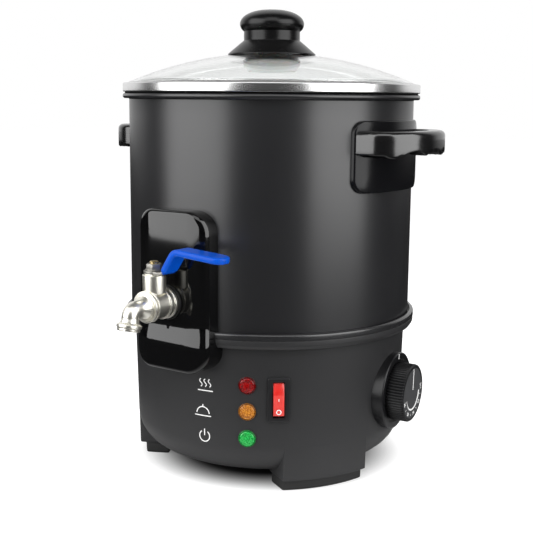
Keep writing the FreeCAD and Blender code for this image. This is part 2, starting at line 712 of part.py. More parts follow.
def sensor_bulb():
    """Thermostat's sensing bulb, lying under the clamp plate."""
    z = CLAMP_Z - BULB_R
    return Part.makeCylinder(BULB_R, BULB_L, V(-BULB_L / 2, BULB_Y, z), V(1, 0, 0))


def bulb_clip():
    """Spring clip that holds the bulb up against the clamp plate."""
    r0, r1 = BULB_R + SEAT, BULB_R + SEAT + CLIP_T
    z = CLAMP_Z - BULB_R
    outer = Part.makeCylinder(r1, CLIP_W, V(-CLIP_W / 2, BULB_Y, z), V(1, 0, 0))
    sides = block(-CLIP_W / 2, CLIP_W / 2, BULB_Y - r1, BULB_Y + r1, z, CLAMP_Z)
    ears = block(-CLIP_W / 2, CLIP_W / 2, BULB_Y - 2 * r1, BULB_Y + 2 * r1, CLAMP_Z - CLIP_T, CLAMP_Z)
    hollow = Part.makeCylinder(r0, CLIP_W + 2, V(-CLIP_W / 2 - 1, BULB_Y, z), V(1, 0, 0))
    gap = block(-CLIP_W / 2 - 1, CLIP_W / 2 + 1, BULB_Y - r0, BULB_Y + r0, z, CLAMP_Z + 1)
    return outer.multiFuse([sides, ears]).cut([hollow, gap])


# ------------------------------------------------------------------ lid
def lid_glass():
    """Domed glass: a shallow crown that turns down to a flat ground rim."""
    rb, rr, t, rh = DOME_BREAK_R, GLASS_RIM_R, GLASS_T, GLASS_HOLE_R
    zb = dome_z(rb)
    shoulder = ((rb + rr) / 2, (zb + GLASS_EDGE_Z) / 2 + GLASS_BULGE)
    under_b = (rb - 1.5, dome_z(rb - 1.5, t))
    under_e = (rr - 1.5, GLASS_UNDER_Z)
    belly = ((under_b[0] + under_e[0]) / 2, (under_b[1] + under_e[1]) / 2 + GLASS_BULGE)
    mid = rb / 2
    return turned((rh, dome_z(rh)), ((mid, dome_z(mid)), (rb, zb)), (shoulder, (rr, GLASS_EDGE_Z)),
                  (GLASS_EDGE_R, GLASS_EDGE_Z), (GLASS_EDGE_R, GLASS_UNDER_Z), under_e,
                  (belly, under_b), ((mid, dome_z(mid, t)), (rh, dome_z(rh, t))))


def lid_band():
    """Rolled steel band round the glass, with a skirt that centres the lid in the pot."""
    z, t, r = BAND_Z, BAND_T, BAND_R
    top, foot = BAND_TOP_Z, BAND_Z - SKIRT_DEPTH
    low, high = BAND_LOW_EDGE, BAND_TOP_EDGE
    return turned((SKIRT_R, foot), (SKIRT_R, z), (r - low, z),
                  (on_arc(r - low, z + low, low, -45), (r, z + low)), (r, top - high),
                  (on_arc(r - high, top - high, high, 45), (r - high, top)), (BAND_LIP_R, top),
                  (BAND_LIP_R, top - t), (r - t, top - t), (r - t, z + t), (SKIRT_R - t, z + t),
                  (SKIRT_R - t, foot))


def skirt_levels():
    """Heights of the knob skirt's edge, its cone's top and its neck's top."""
    edge = dome_z(KNOB_SKIRT_R) + SEAT
    cone = edge + KNOB_SKIRT_EDGE + KNOB_CONE_H
    return edge, cone, cone + KNOB_NECK_H


def knob_skirt():
    """Flared lower half of the knob, hollow underneath with a boss round the screw."""
    edge, cone, neck = skirt_levels()
    r, rim, w = KNOB_SKIRT_R, edge + KNOB_SKIRT_EDGE, KNOB_WALL
    mid_r = (r + KNOB_SKIRT_TOP_R) / 2 - 1.2
    mid_z = (rim + cone) / 2
    body = turned((0, edge), (r, edge), (r, rim), ((mid_r, mid_z), (KNOB_SKIRT_TOP_R, cone)),
                  (KNOB_NECK_R, cone + 0.6), (KNOB_NECK_R, neck), (0, neck))
    hollow = turned((2.5 * LID_SCREW_R, edge - 1), (r - w, edge - 1), (r - w, rim),
                    (KNOB_NECK_R - w, cone - w), (KNOB_NECK_R - w, neck - w),
                    (2.5 * LID_SCREW_R, neck - w))
    crown = turned((0, edge - 1), (r, edge - 1), (r, dome_z(r) + SEAT),
                   ((r / 2, dome_z(r / 2) + SEAT), (0, DOME_TOP_Z + SEAT)))
    bore = rod(LID_SCREW_R + SEAT, edge - 1, neck + 1)
    return body.cut([hollow, crown, bore])


def knob_cap():
    """Rounded cap that the hand holds, screwed down onto the skirt."""
    neck = skirt_levels()[2]
    top, r, c = neck + CAP_H, CAP_R, CAP_CORNER
    waist_z = neck + 0.4 * CAP_H
    shoulder = top - CAP_CROWN
    crown_r = arc_radius(r - c, CAP_CROWN)
    half = (r - c) / 2
    body = turned((0, neck), (KNOB_NECK_R, neck), ((r - 0.6, neck + 0.16 * CAP_H), (r, waist_z)),
                  (r, shoulder - c), (on_arc(r - c, shoulder - c, c, 45), (r - c, shoulder)),
                  ((half, top - crown_r + math.sqrt(crown_r ** 2 - half ** 2)), (0, top)))
    bore = rod(LID_SCREW_R, neck - 1, neck + LID_SCREW_BITE - KNOB_NECK_H + 1)
    return body.cut(bore)


def under_disc(r_out, drop, thickness):
    """Washer that follows the underside of the glass."""
    rh = LID_SCREW_R + SEAT
    upper, lower = GLASS_T + drop, GLASS_T + drop + thickness
    mid = r_out / 2
    return turned((rh, dome_z(rh, upper)), ((mid, dome_z(mid, upper)), (r_out, dome_z(r_out, upper))),
                  (r_out, dome_z(r_out, lower)), ((mid, dome_z(mid, lower)), (rh, dome_z(rh, lower))))


def lid_seal():
    return under_disc(SEAL_R, SEAT, SEAL_T)


def lid_cup():
    """Dished plastic washer that carries the screw's head inside the lid."""
    roof = dome_z(CUP_R, GLASS_T + SEAT + SEAL_T + SEAT)
    foot = roof - CUP_H
    t = CUP_T
    body = turned((LID_SCREW_R + SEAT, roof), (CUP_R, roof), (CUP_R, roof - t), (CUP_FOOT_R, foot),
                  (CUP_FOOT_R - t, foot), (CUP_R - 2 * t, roof - t), (LID_SCREW_R + SEAT, roof - t))
    return body


def lid_screw():
    roof = dome_z(CUP_R, GLASS_T + SEAT + SEAL_T + SEAT) - CUP_T
    low = roof - LID_SCREW_HEAD_T
    top = skirt_levels()[2] + LID_SCREW_BITE - KNOB_NECK_H
    body = turned((0, low), (LID_SCREW_HEAD_R - 1, low), (LID_SCREW_HEAD_R, low + 1),
                  (LID_SCREW_HEAD_R, roof), (LID_SCREW_R, roof), (LID_SCREW_R, top), (0, top))
    slot = block(-LID_SCREW_HEAD_R, LID_SCREW_HEAD_R, -0.5, 0.5, low - 1, low + 1.2)
    return body.cut(slot)


# ------------------------------------------------------------------ tap cover and tap
def crowned_box(w, z0, z1, face_dist, corner, edge):
    """Rounded upright box in front of the pot's axis with a crowned, soft-edged face."""
    mid = (z0 + z1) / 2
    back = SHELL_R - TAP_COVER_BACK
    box = placed(rounded_block(w, z1 - z0, corner, back, face_dist + 5), stand(0, mid))
    crown_r = arc_radius(TAP_COVER_W / 2, TAP_COVER_CROWN)
    crown = Part.makeCylinder(crown_r, z1 - z0 + 2, V(0, crown_r - face_dist, z0 - 1))
    body = box.common(crown)
    front = [e for e in body.Edges if e.CenterOfMass.y < -face_dist + TAP_COVER_CROWN + 1]
    return body.makeFillet(edge, front)


def tap_cover():
    """Gloss housing over the outlet, scribed to the shell, the ring and the base."""
    w = TAP_COVER_WALL
    outside = crowned_box(TAP_COVER_W, TAP_COVER_Z0, TAP_COVER_Z1, TAP_COVER_FACE,
                          TAP_COVER_CORNER, TAP_COVER_EDGE)
    inside = crowned_box(TAP_COVER_W - 2 * w, TAP_COVER_Z0 + w, TAP_COVER_Z1 - w,
                         TAP_COVER_FACE - w, TAP_COVER_CORNER - w, TAP_COVER_EDGE - w)
    ring = tube(SHELL_R - SHELL_T, RING_R + SEAT, COLLAR_TOP_Z, COLLAR_TOP_Z + RING_H + SEAT)
    shell_skin = rod(SHELL_R + SEAT, COLLAR_TOP_Z, TAP_COVER_Z1 + 1)
    bore = placed(rod(SHANK_R + SEAT, SHELL_R, TAP_COVER_FACE + 5), stand(0, TAP_Z))
    return outside.cut([inside, base_outline(SEAT), ring, shell_skin, bore])


def flat_ring(r_in, r_out, d0, d1):
    """Ring on the tap's axis between two distances from the pot's axis."""
    return placed(tube(r_in, r_out, d0, d1), stand(0, TAP_Z))


def tap_spacer():
    """Sleeve on the shank that holds the cover off the shell."""
    sag = SPACER_R ** 2 / (2 * arc_radius(TAP_COVER_W / 2, TAP_COVER_CROWN))
    end = TAP_COVER_FACE - TAP_COVER_WALL - sag
    body = flat_ring(SHANK_R + SEAT, SPACER_R, SHELL_R - 5, end)
    return body.cut(rod(SHELL_R + SEAT, TAP_Z - 2 * SPACER_R, TAP_Z + 2 * SPACER_R))


def tap_gasket():
    return flat_ring(SHANK_R + SEAT, TAP_GASKET_R, TAP_COVER_FACE, TAP_GASKET_FACE)


def inner_gasket_faces():
    """Distances of the pot-side gasket's two faces from the axis."""
    outer = math.sqrt(POT_R ** 2 - INNER_GASKET_R ** 2) - SEAT
    return outer - INNER_GASKET_T, outer


def inner_gasket():
    near, far = inner_gasket_faces()
    return flat_ring(SHANK_R + SEAT, INNER_GASKET_R, near, far)


def locknut():
    near = inner_gasket_faces()[0]
    nut = prism(LOCKNUT_AC, 6, near - LOCKNUT_H, near).cut(rod(SHANK_R, near - LOCKNUT_H - 1, near + 1))
    return placed(nut, stand(0, TAP_Z))


def stem_axis():
    """Frame at the crossing of the tap's and the stem's axes, with z up."""
    return Placement(V(0, -STEM_DIST, TAP_Z), Rotation())


def seat_planes():
    """Distances from the pot's axis of the two seat rings' outer faces."""
    half = BALL_R * 0.6 + SEAT_RING_T
    return STEM_DIST - half, STEM_DIST + half


def tap_body():
    """Nickel-plated body: shank, flange, barrel and the bonnet that carries the stem."""
    rear, front = seat_planes()
    ring = FRONT_RING_R
    end = FRONT_RING_END
    body = turned((0, SHANK_END), (SHANK_R - 0.8, SHANK_END), (SHANK_R, SHANK_END + 0.8),
                  (SHANK_R, TAP_GASKET_FACE), (FLANGE_R - 0.4, TAP_GASKET_FACE),
                  (FLANGE_R, TAP_GASKET_FACE + 0.4), (FLANGE_R, TAP_FLANGE_FACE - 0.6),
                  (FLANGE_R - 0.6, TAP_FLANGE_FACE), (BARREL_R, TAP_FLANGE_FACE),
                  (BARREL_R, end - 5.4), (ring, end - 5.0), (ring, end - 3.2), (BARREL_R, end - 2.8),
                  (BARREL_R, end - 2.2), (ring - 0.4, end - 1.8), (ring - 0.4, end - 0.4),
                  (ring - 1.0, end), (0, end))
    body = placed(body, stand(0, TAP_Z))
    bonnet = placed(turned((0, 0), (BONNET_R, 0), (BONNET_R, BONNET_TOP - 0.5),
                           (BONNET_R - 0.5, BONNET_TOP), (0, BONNET_TOP)), stem_axis())
    flow = placed(rod(BORE_R, SHANK_END - 1, rear + 1), stand(0, TAP_Z))
    chamber = placed(rod(CHAMBER_R, rear, end + 1), stand(0, TAP_Z))
    stem_bore = placed(rod(STEM_R + SHAFT_PLAY, 0, BONNET_TOP + 1), stem_axis())
    gland = placed(rod(GLAND_R, BONNET_TOP - GLAND_DEPTH, BONNET_TOP + 1), stem_axis())
    return body.fuse(bonnet).cut([flow, chamber, stem_bore, gland]).removeSplitter()


def tap_gland():
    """Screwed gland with a hexagon that keeps the stem's packing down."""
    body = placed(rod(GLAND_R, BONNET_TOP - GLAND_DEPTH, BONNET_TOP), stem_axis())
    head = placed(prism(2 * GLAND_HEX, 6, BONNET_TOP, BONNET_TOP + GLAND_PROUD), stem_axis())
    bore = placed(rod(STEM_R + SHAFT_PLAY, 0, STEM_TOP), stem_axis())
    return body.fuse(head).cut(bore)


def seat_rings():
    """Two PTFE rings that the ball turns between."""
    rear, front = seat_planes()
    rings = flat_ring(BORE_R, CHAMBER_R, rear, rear + SEAT_RING_T).fuse(
        flat_ring(BORE_R, CHAMBER_R, front - SEAT_RING_T, front))
    hollow = Part.makeSphere(BALL_R + SHAFT_PLAY, V(0, -STEM_DIST, TAP_Z))
    return rings.cut(hollow)


def tap_ball():
    """Ball with a flow bore across the closed tap and a slot for the stem's tongue."""
    ball = Part.makeSphere(BALL_R)
    bore = Part.makeCylinder(BORE_R * 0.85, 4 * BALL_R, V(-2 * BALL_R, 0, 0), V(1, 0, 0))
    slot = block(-BALL_R, BALL_R, -1.0, 1.0, BALL_R - 1.4, BALL_R + 1)
    return placed(ball.cut([bore, slot]), stem_axis())


def tap_stem():
    """Brass stem: a tongue in the ball, a collar under the bonnet's bore and a threaded end."""
    tongue = block(-2.4, 2.4, -1.0, 1.0, BALL_R - 1.4, BALL_R + 0.4)
    shaft = turned((0, BALL_R + 0.2), (STEM_R, BALL_R + 0.2), (STEM_R, STEM_TOP - 0.6),
                   (STEM_R - 0.6, STEM_TOP), (0, STEM_TOP))
    return placed(shaft.fuse(tongue), stem_axis())


def spout_axis():
    """Frame on the spout with its x axis along the object's X and its z axis out of the mouth."""
    a = math.radians(SPOUT_TILT)
    out = V(0, -math.sin(a), -math.cos(a))
    across = V(1, 0, 0)
    return Placement(V(0, -KNEE_DIST, TAP_Z), Rotation(across, out.cross(across), out, "ZXY"))


def tap_spout():
    """Front half of the tap: tail, tapered neck, knee and a collared spout."""
    rear, front = seat_planes()
    start = FRONT_RING_END
    neck_end = start + NECK_L
    neck = placed(turned((0, front), (TAIL_R, front), (TAIL_R, start), (NECK_R0, start),
                         ((NECK_R0 - 0.6, start + 2.4), (NECK_R1, neck_end)),
                         (NECK_R1, KNEE_DIST), (0, KNEE_DIST)), stand(0, TAP_Z))
    knee = Part.makeSphere(KNEE_R, V(0, -KNEE_DIST, TAP_Z))
    collar = SPOUT_L - SPOUT_COLLAR_H
    c = SPOUT_COLLAR_R
    spout = placed(turned((0, 0), (SPOUT_R0, 0), (SPOUT_R1, collar - 0.8), (c - 0.4, collar),
                          (c, collar + 0.6), (c, collar + 1.8), (c - 0.7, collar + 2.4),
                          (c - 0.7, SPOUT_L - 0.4), (c - 1.1, SPOUT_L), (0, SPOUT_L)), spout_axis())
    flow = placed(rod(BORE_R, front - 1, KNEE_DIST), stand(0, TAP_Z))
    turn = Part.makeSphere(BORE_R, V(0, -KNEE_DIST, TAP_Z))
    drop = placed(rod(BORE_R, 0, SPOUT_L), spout_axis())
    mouth = placed(rod(SPOUT_BORE_R, SPOUT_L - SPOUT_BORE_L, SPOUT_L + 1), spout_axis())
    return neck.multiFuse([knee, spout]).cut([flow, turn, drop, mouth]).removeSplitter()


# ------------------------------------------------------------------ tap lever
def offset_line(points, d):
    """Polyline moved sideways by d, with mitred corners."""
    normals = []
    for (x0, z0), (x1, z1) in zip(points, points[1:]):
        run = math.dist((x0, z0), (x1, z1))
        normals.append((-(z1 - z0) / run, (x1 - x0) / run))
    moved = []
    for i, (x, z) in enumerate(points):
        n0, n1 = normals[max(i - 1, 0)], normals[min(i, len(normals) - 1)]
        scale = d / (1 + n0[0] * n1[0] + n0[1] * n1[1])
        moved.append((x + scale * (n0[0] + n1[0]), z + scale * (n0[1] + n1[1])))
    return moved


def strap_side(grow):
    """Side view of the cranked strap, grown by a cover's thickness, pushed across its width."""
    level, end, reach = STRAP_Z + STRAP_T / 2, STRAP_L + 2 * grow, STRAP_W1
    fall = STRAP_DROP * (end - STRAP_BEND_OUT) / (STRAP_L - STRAP_BEND_OUT)
    middle = [(0, level), (STRAP_BEND_IN, level), (STRAP_BEND_OUT, level + STRAP_RISE),
              (end, level + STRAP_RISE - fall)]
    half = STRAP_T / 2 + grow
    outline = offset_line(middle, half) + offset_line(middle, -half)[::-1]
    side = face(*outline, lift=lambda a, b: V(a, -STEM_DIST - reach, b)).extrude(V(0, 2 * reach, 0))
    bends = [e for e in side.Edges if abs(e.tangentAt(e.FirstParameter).y) > 0.99
             and 1 < e.CenterOfMass.x < STRAP_L - 1]
    in_low, in_high, out_low, out_high = sorted(bends, key=lambda e: e.CenterOfMass.z)
    side = side.makeFillet(STRAP_BEND_R - grow, [in_high, out_low])
    bends = [e for e in side.Edges if any(e.CenterOfMass.isEqual(old.CenterOfMass, 0.01)
                                          for old in (in_low, out_high))]
    return side.makeFillet(STRAP_BEND_R + STRAP_T + grow, bends)


def paddle_plan(w0, w1, start, length):
    """Plan of the lever: a bar that widens to a round end."""
    r = w1 / 2
    z0, z1 = STRAP_Z - 2 * STRAP_T, STRAP_TOP_Z + STRAP_RISE + 2 * STRAP_T
    lift = lambda a, b: V(a, b - STEM_DIST, z0)
    plan = face((start, -w0 / 2), (length - r, -r), ((length, 0), (length - r, r)), (start, w0 / 2),
                lift=lift)
    return plan.extrude(V(0, 0, z1 - z0))


def lever_strap():
    """Cranked steel strap with an eye that sits on the stem."""
    arm = strap_side(0).common(paddle_plan(STRAP_W0, STRAP_W1, 0, STRAP_L))
    eye = Part.makeCylinder(STRAP_RING_R, STRAP_T, V(0, -STEM_DIST, STRAP_Z))
    hole = Part.makeCylinder(STEM_R, 4 * STRAP_T, V(0, -STEM_DIST, STRAP_Z - STRAP_T))
    return arm.fuse(eye).cut(hole).removeSplitter()


def lever_sleeve():
    """Dipped vinyl sleeve over the strap's arm."""
    cover = 2 * SLEEVE_T
    body = strap_side(SLEEVE_T).common(
        paddle_plan(STRAP_W0 + cover, STRAP_W1 + cover, SLEEVE_START, STRAP_L + SLEEVE_T))
    outline = [e for e in body.Edges if e.Curve.TypeId != "Part::GeomLine"
               or max(abs(e.tangentAt(e.FirstParameter).y), abs(e.tangentAt(e.FirstParameter).z)) < 0.95]
    return body.makeFillet(SLEEVE_EDGE, outline).cut(lever_strap())


def lever_nut():
    top = STRAP_TOP_Z + LEVER_NUT_H
    nut = prism(LEVER_NUT_AC, 6, STRAP_TOP_Z, top)
    cone = Part.makeCone(LEVER_NUT_AC / 2 + LEVER_NUT_H, LEVER_NUT_AC / 2 - 0.8, LEVER_NUT_H,
                         V(0, 0, STRAP_TOP_Z))
    nut = nut.common(cone).cut(rod(STEM_R, STRAP_TOP_Z - 1, top + 1))
    nut.translate(V(0, -STEM_DIST, 0))
    return nut


# ------------------------------------------------------------------ handles
def loop_plan(half_w, depth, z0, z1):
    """Plan from the axis out: straight sides as far as the plate, then half an ellipse."""
    bow = Part.Ellipse(V(PLATE_R, half_w, z0), V(PLATE_R + depth, 0, z0), V(PLATE_R, 0, z0))
    corners = [V(PLATE_R, -half_w, z0), V(0, -half_w, z0), V(0, half_w, z0), V(PLATE_R, half_w, z0)]
    edges = [Part.ArcOfEllipse(bow, 0, math.pi).toShape()]
    edges += [Part.LineSegment(p, q).toShape() for p, q in zip(corners, corners[1:])]
    return Part.Face(Part.Wire(edges)).extrude(V(0, 0, z1 - z0))


def loop_rims(body, z, outside):
    """Edges of a loop's outer or inner contour at one level."""
    def is_outer(middle):
        return middle.x > PLATE_R + 0.55 * GRIP_DEPTH or abs(middle.y) > PLATE_HALF_W - 1
    level = [e for e in body.Edges if abs(e.CenterOfMass.z - z) < 0.01
             and math.hypot(e.CenterOfMass.x, e.CenterOfMass.y) > SHELL_R - 6]
    return [e for e in level if is_outer(e.CenterOfMass) == outside]


def grip():
    """Loop grip with soft edges and rounded finger scallops underneath."""
    body = loop_plan(PLATE_HALF_W, GRIP_DEPTH, GRIP_Z0, GRIP_Z1)
    hole = loop_plan(PLATE_HALF_W - GRIP_T, GRIP_DEPTH - GRIP_T, GRIP_Z0 - 1, GRIP_Z1 + 1)
    body = body.cut([rod(SHELL_R - 12, GRIP_Z0 - 1, GRIP_Z1 + 1), hole])
    body = body.makeFillet(GRIP_EDGE, loop_rims(body, GRIP_Z1, True))
    body = body.makeFillet(GRIP_LOW_EDGE, loop_rims(body, GRIP_Z0, True))
    body = body.makeFillet(GRIP_HOLE_EDGE, loop_rims(body, GRIP_Z1, False))
    return body.cut(finger_scallops())


def finger_scallops():
    """Cutter for the grip's underside: a row of scallops with rounded ridges between them."""
    radius = arc_radius(SCALLOP_PITCH / 2, SCALLOP_DEPTH)
    bar = block(PLATE_R + 2, GRIP_REACH + 1, -GRIP_REACH, GRIP_REACH, GRIP_Z0 - GRIP_T, GRIP_Z0)
    rolls = []
    for i in range(SCALLOP_COUNT):
        y = (i - (SCALLOP_COUNT - 1) / 2) * SCALLOP_PITCH
        rolls.append(Part.makeCylinder(radius, GRIP_REACH - PLATE_R - 1,
                                       V(PLATE_R + 2, y, GRIP_Z0 + SCALLOP_DEPTH - radius), V(1, 0, 0)))
    cutter = bar.multiFuse(rolls).removeSplitter()
    ridges = [e for e in cutter.Edges if abs(e.CenterOfMass.z - GRIP_Z0) < 0.01
              and e.BoundBox.YLength < 0.01]
    return cutter.makeFillet(SCALLOP_TOOTH_R, ridges)


def handle_plate():
    """Escutcheon bent round the shell, with rounded corners and a softened face."""
    mid = (PLATE_Z0 + PLATE_Z1) / 2
    upright = rounded_block(2 * PLATE_HALF_W, PLATE_Z1 - PLATE_Z0, PLATE_CORNER, SHELL_R - PLATE_BACK,
                            PLATE_R + 10)
    prism_box = placed(upright, stand(90, mid))
    solid = prism_box.common(rod(PLATE_R, PLATE_Z0 - 1, PLATE_Z1 + 1))
    front = [e for e in solid.Edges
             if all(abs(math.hypot(v.X, v.Y) - PLATE_R) < 0.01 for v in e.Vertexes)]
    solid = solid.makeFillet(PLATE_EDGE, front)
    return solid.cut(rod(SHELL_R + SEAT, PLATE_Z0 - 1, PLATE_Z1 + 1))


def handle_screw_shafts(grow=0.0):
    """Shafts of the four handle screws, grown by a clearance."""
    shafts = []
    for az in (90, 270):
        for z in HANDLE_SCREW_Z:
            shafts.append(placed(rod(HANDLE_SCREW_R + grow, SHELL_R - SHELL_T - 1,
                                     SHELL_R + HANDLE_SCREW_BITE), stand(az, z)))
    return shafts


def handle_screw_heads(grow=0.0):
    heads = []
    seat = math.sqrt((SHELL_R - SHELL_T) ** 2 - HANDLE_SCREW_HEAD_R ** 2)
    for az in (90, 270):
        for z in HANDLE_SCREW_Z:
            heads.append(placed(rod(HANDLE_SCREW_HEAD_R + grow, seat - HANDLE_SCREW_HEAD_T - grow,
                                    seat + grow), stand(az, z)))
    return heads


def handle_screws():
    return group(head.fuse(shaft) for head, shaft in zip(handle_screw_heads(), handle_screw_shafts()))


def handle():
    """Handle on the +X side: plate and grip moulded in one piece."""
    body = handle_plate().fuse(grip().cut(rod(PLATE_R - 1, GRIP_Z0 - 1, GRIP_Z1 + 1)))
    return body.cut(handle_screw_shafts(0)[:len(HANDLE_SCREW_Z)]).removeSplitter()


# ------------------------------------------------------------------ lamps and switch
def lamp_lens(z):
    """Coloured lens: a rim on the wall, a faceted dome and a spigot into its barrel."""
    rim = rod(LAMP_RIM_R, -1.0, LAMP_RIM_T)
    facets = 16
    dome = turned((0, 0), (LAMP_DOME_R, 0), (LAMP_DOME_R, LAMP_RIM_T + 0.5),
                  (0.72 * LAMP_DOME_R, LAMP_RIM_T + 0.7 * LAMP_DOME_H),
                  (0.38 * LAMP_DOME_R, LAMP_RIM_T + LAMP_DOME_H), (0, LAMP_RIM_T + LAMP_DOME_H))
    across = 2 * LAMP_DOME_R / math.cos(math.pi / facets)
    sides = prism(across, facets, 0, 2 * LAMP_RIM_T + LAMP_DOME_H)
    lens = rim.fuse(dome.common(sides))
    lens = placed(lens, on_wall(LAMP_AZ, z)).cut(base_outline())
    plug = placed(rod(LAMP_BARREL_R - 0.8, -BASE_WALL, LAMP_RIM_T), on_wall(LAMP_AZ, z))
    return lens.fuse(plug).removeSplitter()


def lamp_holders():
    """Barrels behind the lenses, each with its push-on clip inside the wall."""
    holders = []
    for z in LAMP_Z.values():
        barrel = rod(LAMP_BARREL_R, -LAMP_BARREL_L, -SEAT).cut(rod(LAMP_BARREL_R - 0.8, -BASE_WALL, 1))
        clip = rod(LAMP_CLIP_R, -BASE_WALL - LAMP_CLIP_T - 0.4, -BASE_WALL - 0.4)
        holders.append(placed(barrel.fuse(clip), on_wall(LAMP_AZ, z)))
    return group(holders)


def rocker_frame():
    """Frame of the rocker's pin: on the switch, at its pivot depth, turned to its rest pose."""
    turn = Placement(V(0, 0, SWITCH_RIM_T - ROCKER_PIVOT_DEPTH), Rotation(V(1, 0, 0), -ROCKER_ANGLE))
    return on_wall(SWITCH_AZ, SWITCH_Z).multiply(turn)


def switch_housing():
    """Snap-in switch case with a rim on the wall and a well for the rocker."""
    rim = rounded_block(SWITCH_W, SWITCH_H, 1.2, -2.0, SWITCH_RIM_T)
    top = [e for e in rim.Edges if abs(e.CenterOfMass.z - SWITCH_RIM_T) < 0.01]
    rim = rim.makeFillet(0.5, top)
    rim = placed(rim, on_wall(SWITCH_AZ, SWITCH_Z)).cut(base_outline())
    case = block(-SWITCH_BODY_W / 2, SWITCH_BODY_W / 2, -SWITCH_BODY_H / 2, SWITCH_BODY_H / 2,
                 SWITCH_RIM_T - SWITCH_BODY_L, SWITCH_RIM_T - 0.6)
    well_floor = SWITCH_RIM_T - ROCKER_PIVOT_DEPTH - ROCKER_DEPTH
    half_w, half_h = ROCKER_W / 2 + PLAY, ROCKER_H / 2 + PLAY
    well = block(-half_w, half_w, -half_h, half_h, well_floor, SWITCH_RIM_T + 5)
    pin_z = SWITCH_RIM_T - ROCKER_PIVOT_DEPTH
    sockets = Part.makeCylinder(ROCKER_PIN_R + SHAFT_PLAY, ROCKER_W + 2.4,
                                V(-ROCKER_W / 2 - 1.2, 0, pin_z), V(1, 0, 0))
    tails = [block(-3.1, 3.1, y - 0.4, y + 0.4, SWITCH_RIM_T - SWITCH_BODY_L - 7,
                   SWITCH_RIM_T - SWITCH_BODY_L) for y in (-8, 0, 8)]
    inner = case.multiFuse(tails)
    place = on_wall(SWITCH_AZ, SWITCH_Z)
    return rim.fuse(placed(inner, place)).cut([placed(well, place), placed(sockets, place)])


def switch_rocker():
    """Translucent rocker with a crest, two slopes and a pin at each side."""
    w, h = ROCKER_W / 2, ROCKER_H / 2
    crest = ROCKER_PIVOT_DEPTH + ROCKER_PROUD
    slope = math.tan(math.radians(ROCKER_ANGLE))
    top = crest - (h - ROCKER_CREST_Y) * slope
    low = crest - (h + ROCKER_CREST_Y) * slope
    root = 2.2
    lift = lambda a, b: V(-w, a, b)
    side = face((-h, 0.4), (-h, low), (ROCKER_CREST_Y, crest), (h, top), (h, 0.4),
                ((0, -root), (-h, 0.4)), lift=lift)
    body = side.extrude(V(2 * w, 0, 0))
    ends = [e for e in body.Edges if abs(abs(e.CenterOfMass.y) - h) < 0.01 and e.CenterOfMass.z > low - 0.5
            and abs(e.CenterOfMass.x) < 0.01]
    body = body.makeFillet(0.6, ends)
    swing = Part.makeCylinder(h, 2 * w, V(-w, 0, 0), V(1, 0, 0))
    pins = Part.makeCylinder(ROCKER_PIN_R, 2 * w + 2.0, V(-w - 1.0, 0, 0), V(1, 0, 0))
    body = body.common(swing).fuse(pins)
    return placed(body, rocker_frame())


# ------------------------------------------------------------------ dial
def dial_bezel():
    """Fixed ring round the knob, scribed to the wall, with a recess the knob turns in."""
    face_z = DIAL_RIM_FACE
    ring = turned((STAT_NECK_R + SEAT, -12), (DIAL_RIM_R, -12), (DIAL_RIM_R, face_z - 2.2),
                  (on_arc(DIAL_RIM_R - 2.2, face_z - 2.2, 2.2, 45), (DIAL_RIM_R - 2.2, face_z)),
                  (DIAL_RECESS_R + 0.8, face_z), (DIAL_RECESS_R, face_z - 0.8),
                  (DIAL_RECESS_R, face_z - DIAL_RECESS), (STAT_NECK_R + SEAT, face_z - DIAL_RECESS))
    return placed(ring, on_wall(DIAL_AZ, DIAL_Z)).cut(base_outline(SEAT))


def dial_knob():
    """Ribbed knob, hollow behind, with a hub bored to fit the spindle's flat."""
    back = DIAL_RIM_FACE - DIAL_RECESS + PLAY
    front = KNOB_FACE
    r = KNOB_R
    body = turned((0, back), (r, back), (r, front - KNOB_EDGE),
                  (on_arc(r - KNOB_EDGE, front - KNOB_EDGE, KNOB_EDGE, 45), (r - KNOB_EDGE, front)),
                  (0, front))
    hollow = turned((KNOB_HUB_R, back - 1), (r - KNOB_SHELL, back - 1),
                    (r - KNOB_SHELL, front - KNOB_SHELL), (KNOB_HUB_R, front - KNOB_SHELL))
    groove = Part.makeCylinder(KNOB_RIB_DEPTH, front - back - KNOB_EDGE + 1, V(r + 0.1, 0, back - 1))
    grooves = [spun(groove, 360.0 * i / KNOB_RIBS) for i in range(KNOB_RIBS)]
    socket = spindle_section(back - 1, back + SPINDLE_BITE - 2, 0)
    return placed(body.cut([hollow, socket] + grooves), on_wall(DIAL_AZ, DIAL_Z))


def spindle_section(z0, z1, grow):
    """D-section of the spindle between two levels."""
    r = SPINDLE_R + grow
    full = rod(r, z0, z1)
    return full.cut(block(-r, r, SPINDLE_R - SPINDLE_FLAT + grow, r + 1, z0 - 1, z1 + 1))


def dial_spindle():
    """Thermostat spindle: round in its bearing, flatted in the knob."""
    back = DIAL_RIM_FACE - DIAL_RECESS + PLAY
    inside = -STAT_BACK - STAT_L / 2
    body = rod(SPINDLE_R, inside, back).fuse(spindle_section(back, back + SPINDLE_BITE - 2, 0))
    return placed(body, on_wall(DIAL_AZ, DIAL_Z))


def thermostat():
    """Capillary thermostat case behind the wall, with the neck that carries the spindle."""
    case = block(-STAT_W / 2, STAT_W / 2, -STAT_H / 2, STAT_H / 2, -STAT_BACK - STAT_L, -STAT_BACK)
    neck = rod(STAT_NECK_R, -STAT_BACK, DIAL_RIM_FACE - DIAL_RECESS - SEAT)
    tabs = [block(x - 3.1, x + 3.1, -0.4, 0.4, -STAT_BACK - STAT_L - 7, -STAT_BACK - STAT_L)
            for x in (-9, 9)]
    bore = rod(SPINDLE_R + SHAFT_PLAY, -STAT_BACK - STAT_L / 2 - PLAY, DIAL_RIM_FACE)
    return placed(case.multiFuse([neck] + tabs).cut(bore), on_wall(DIAL_AZ, DIAL_Z))


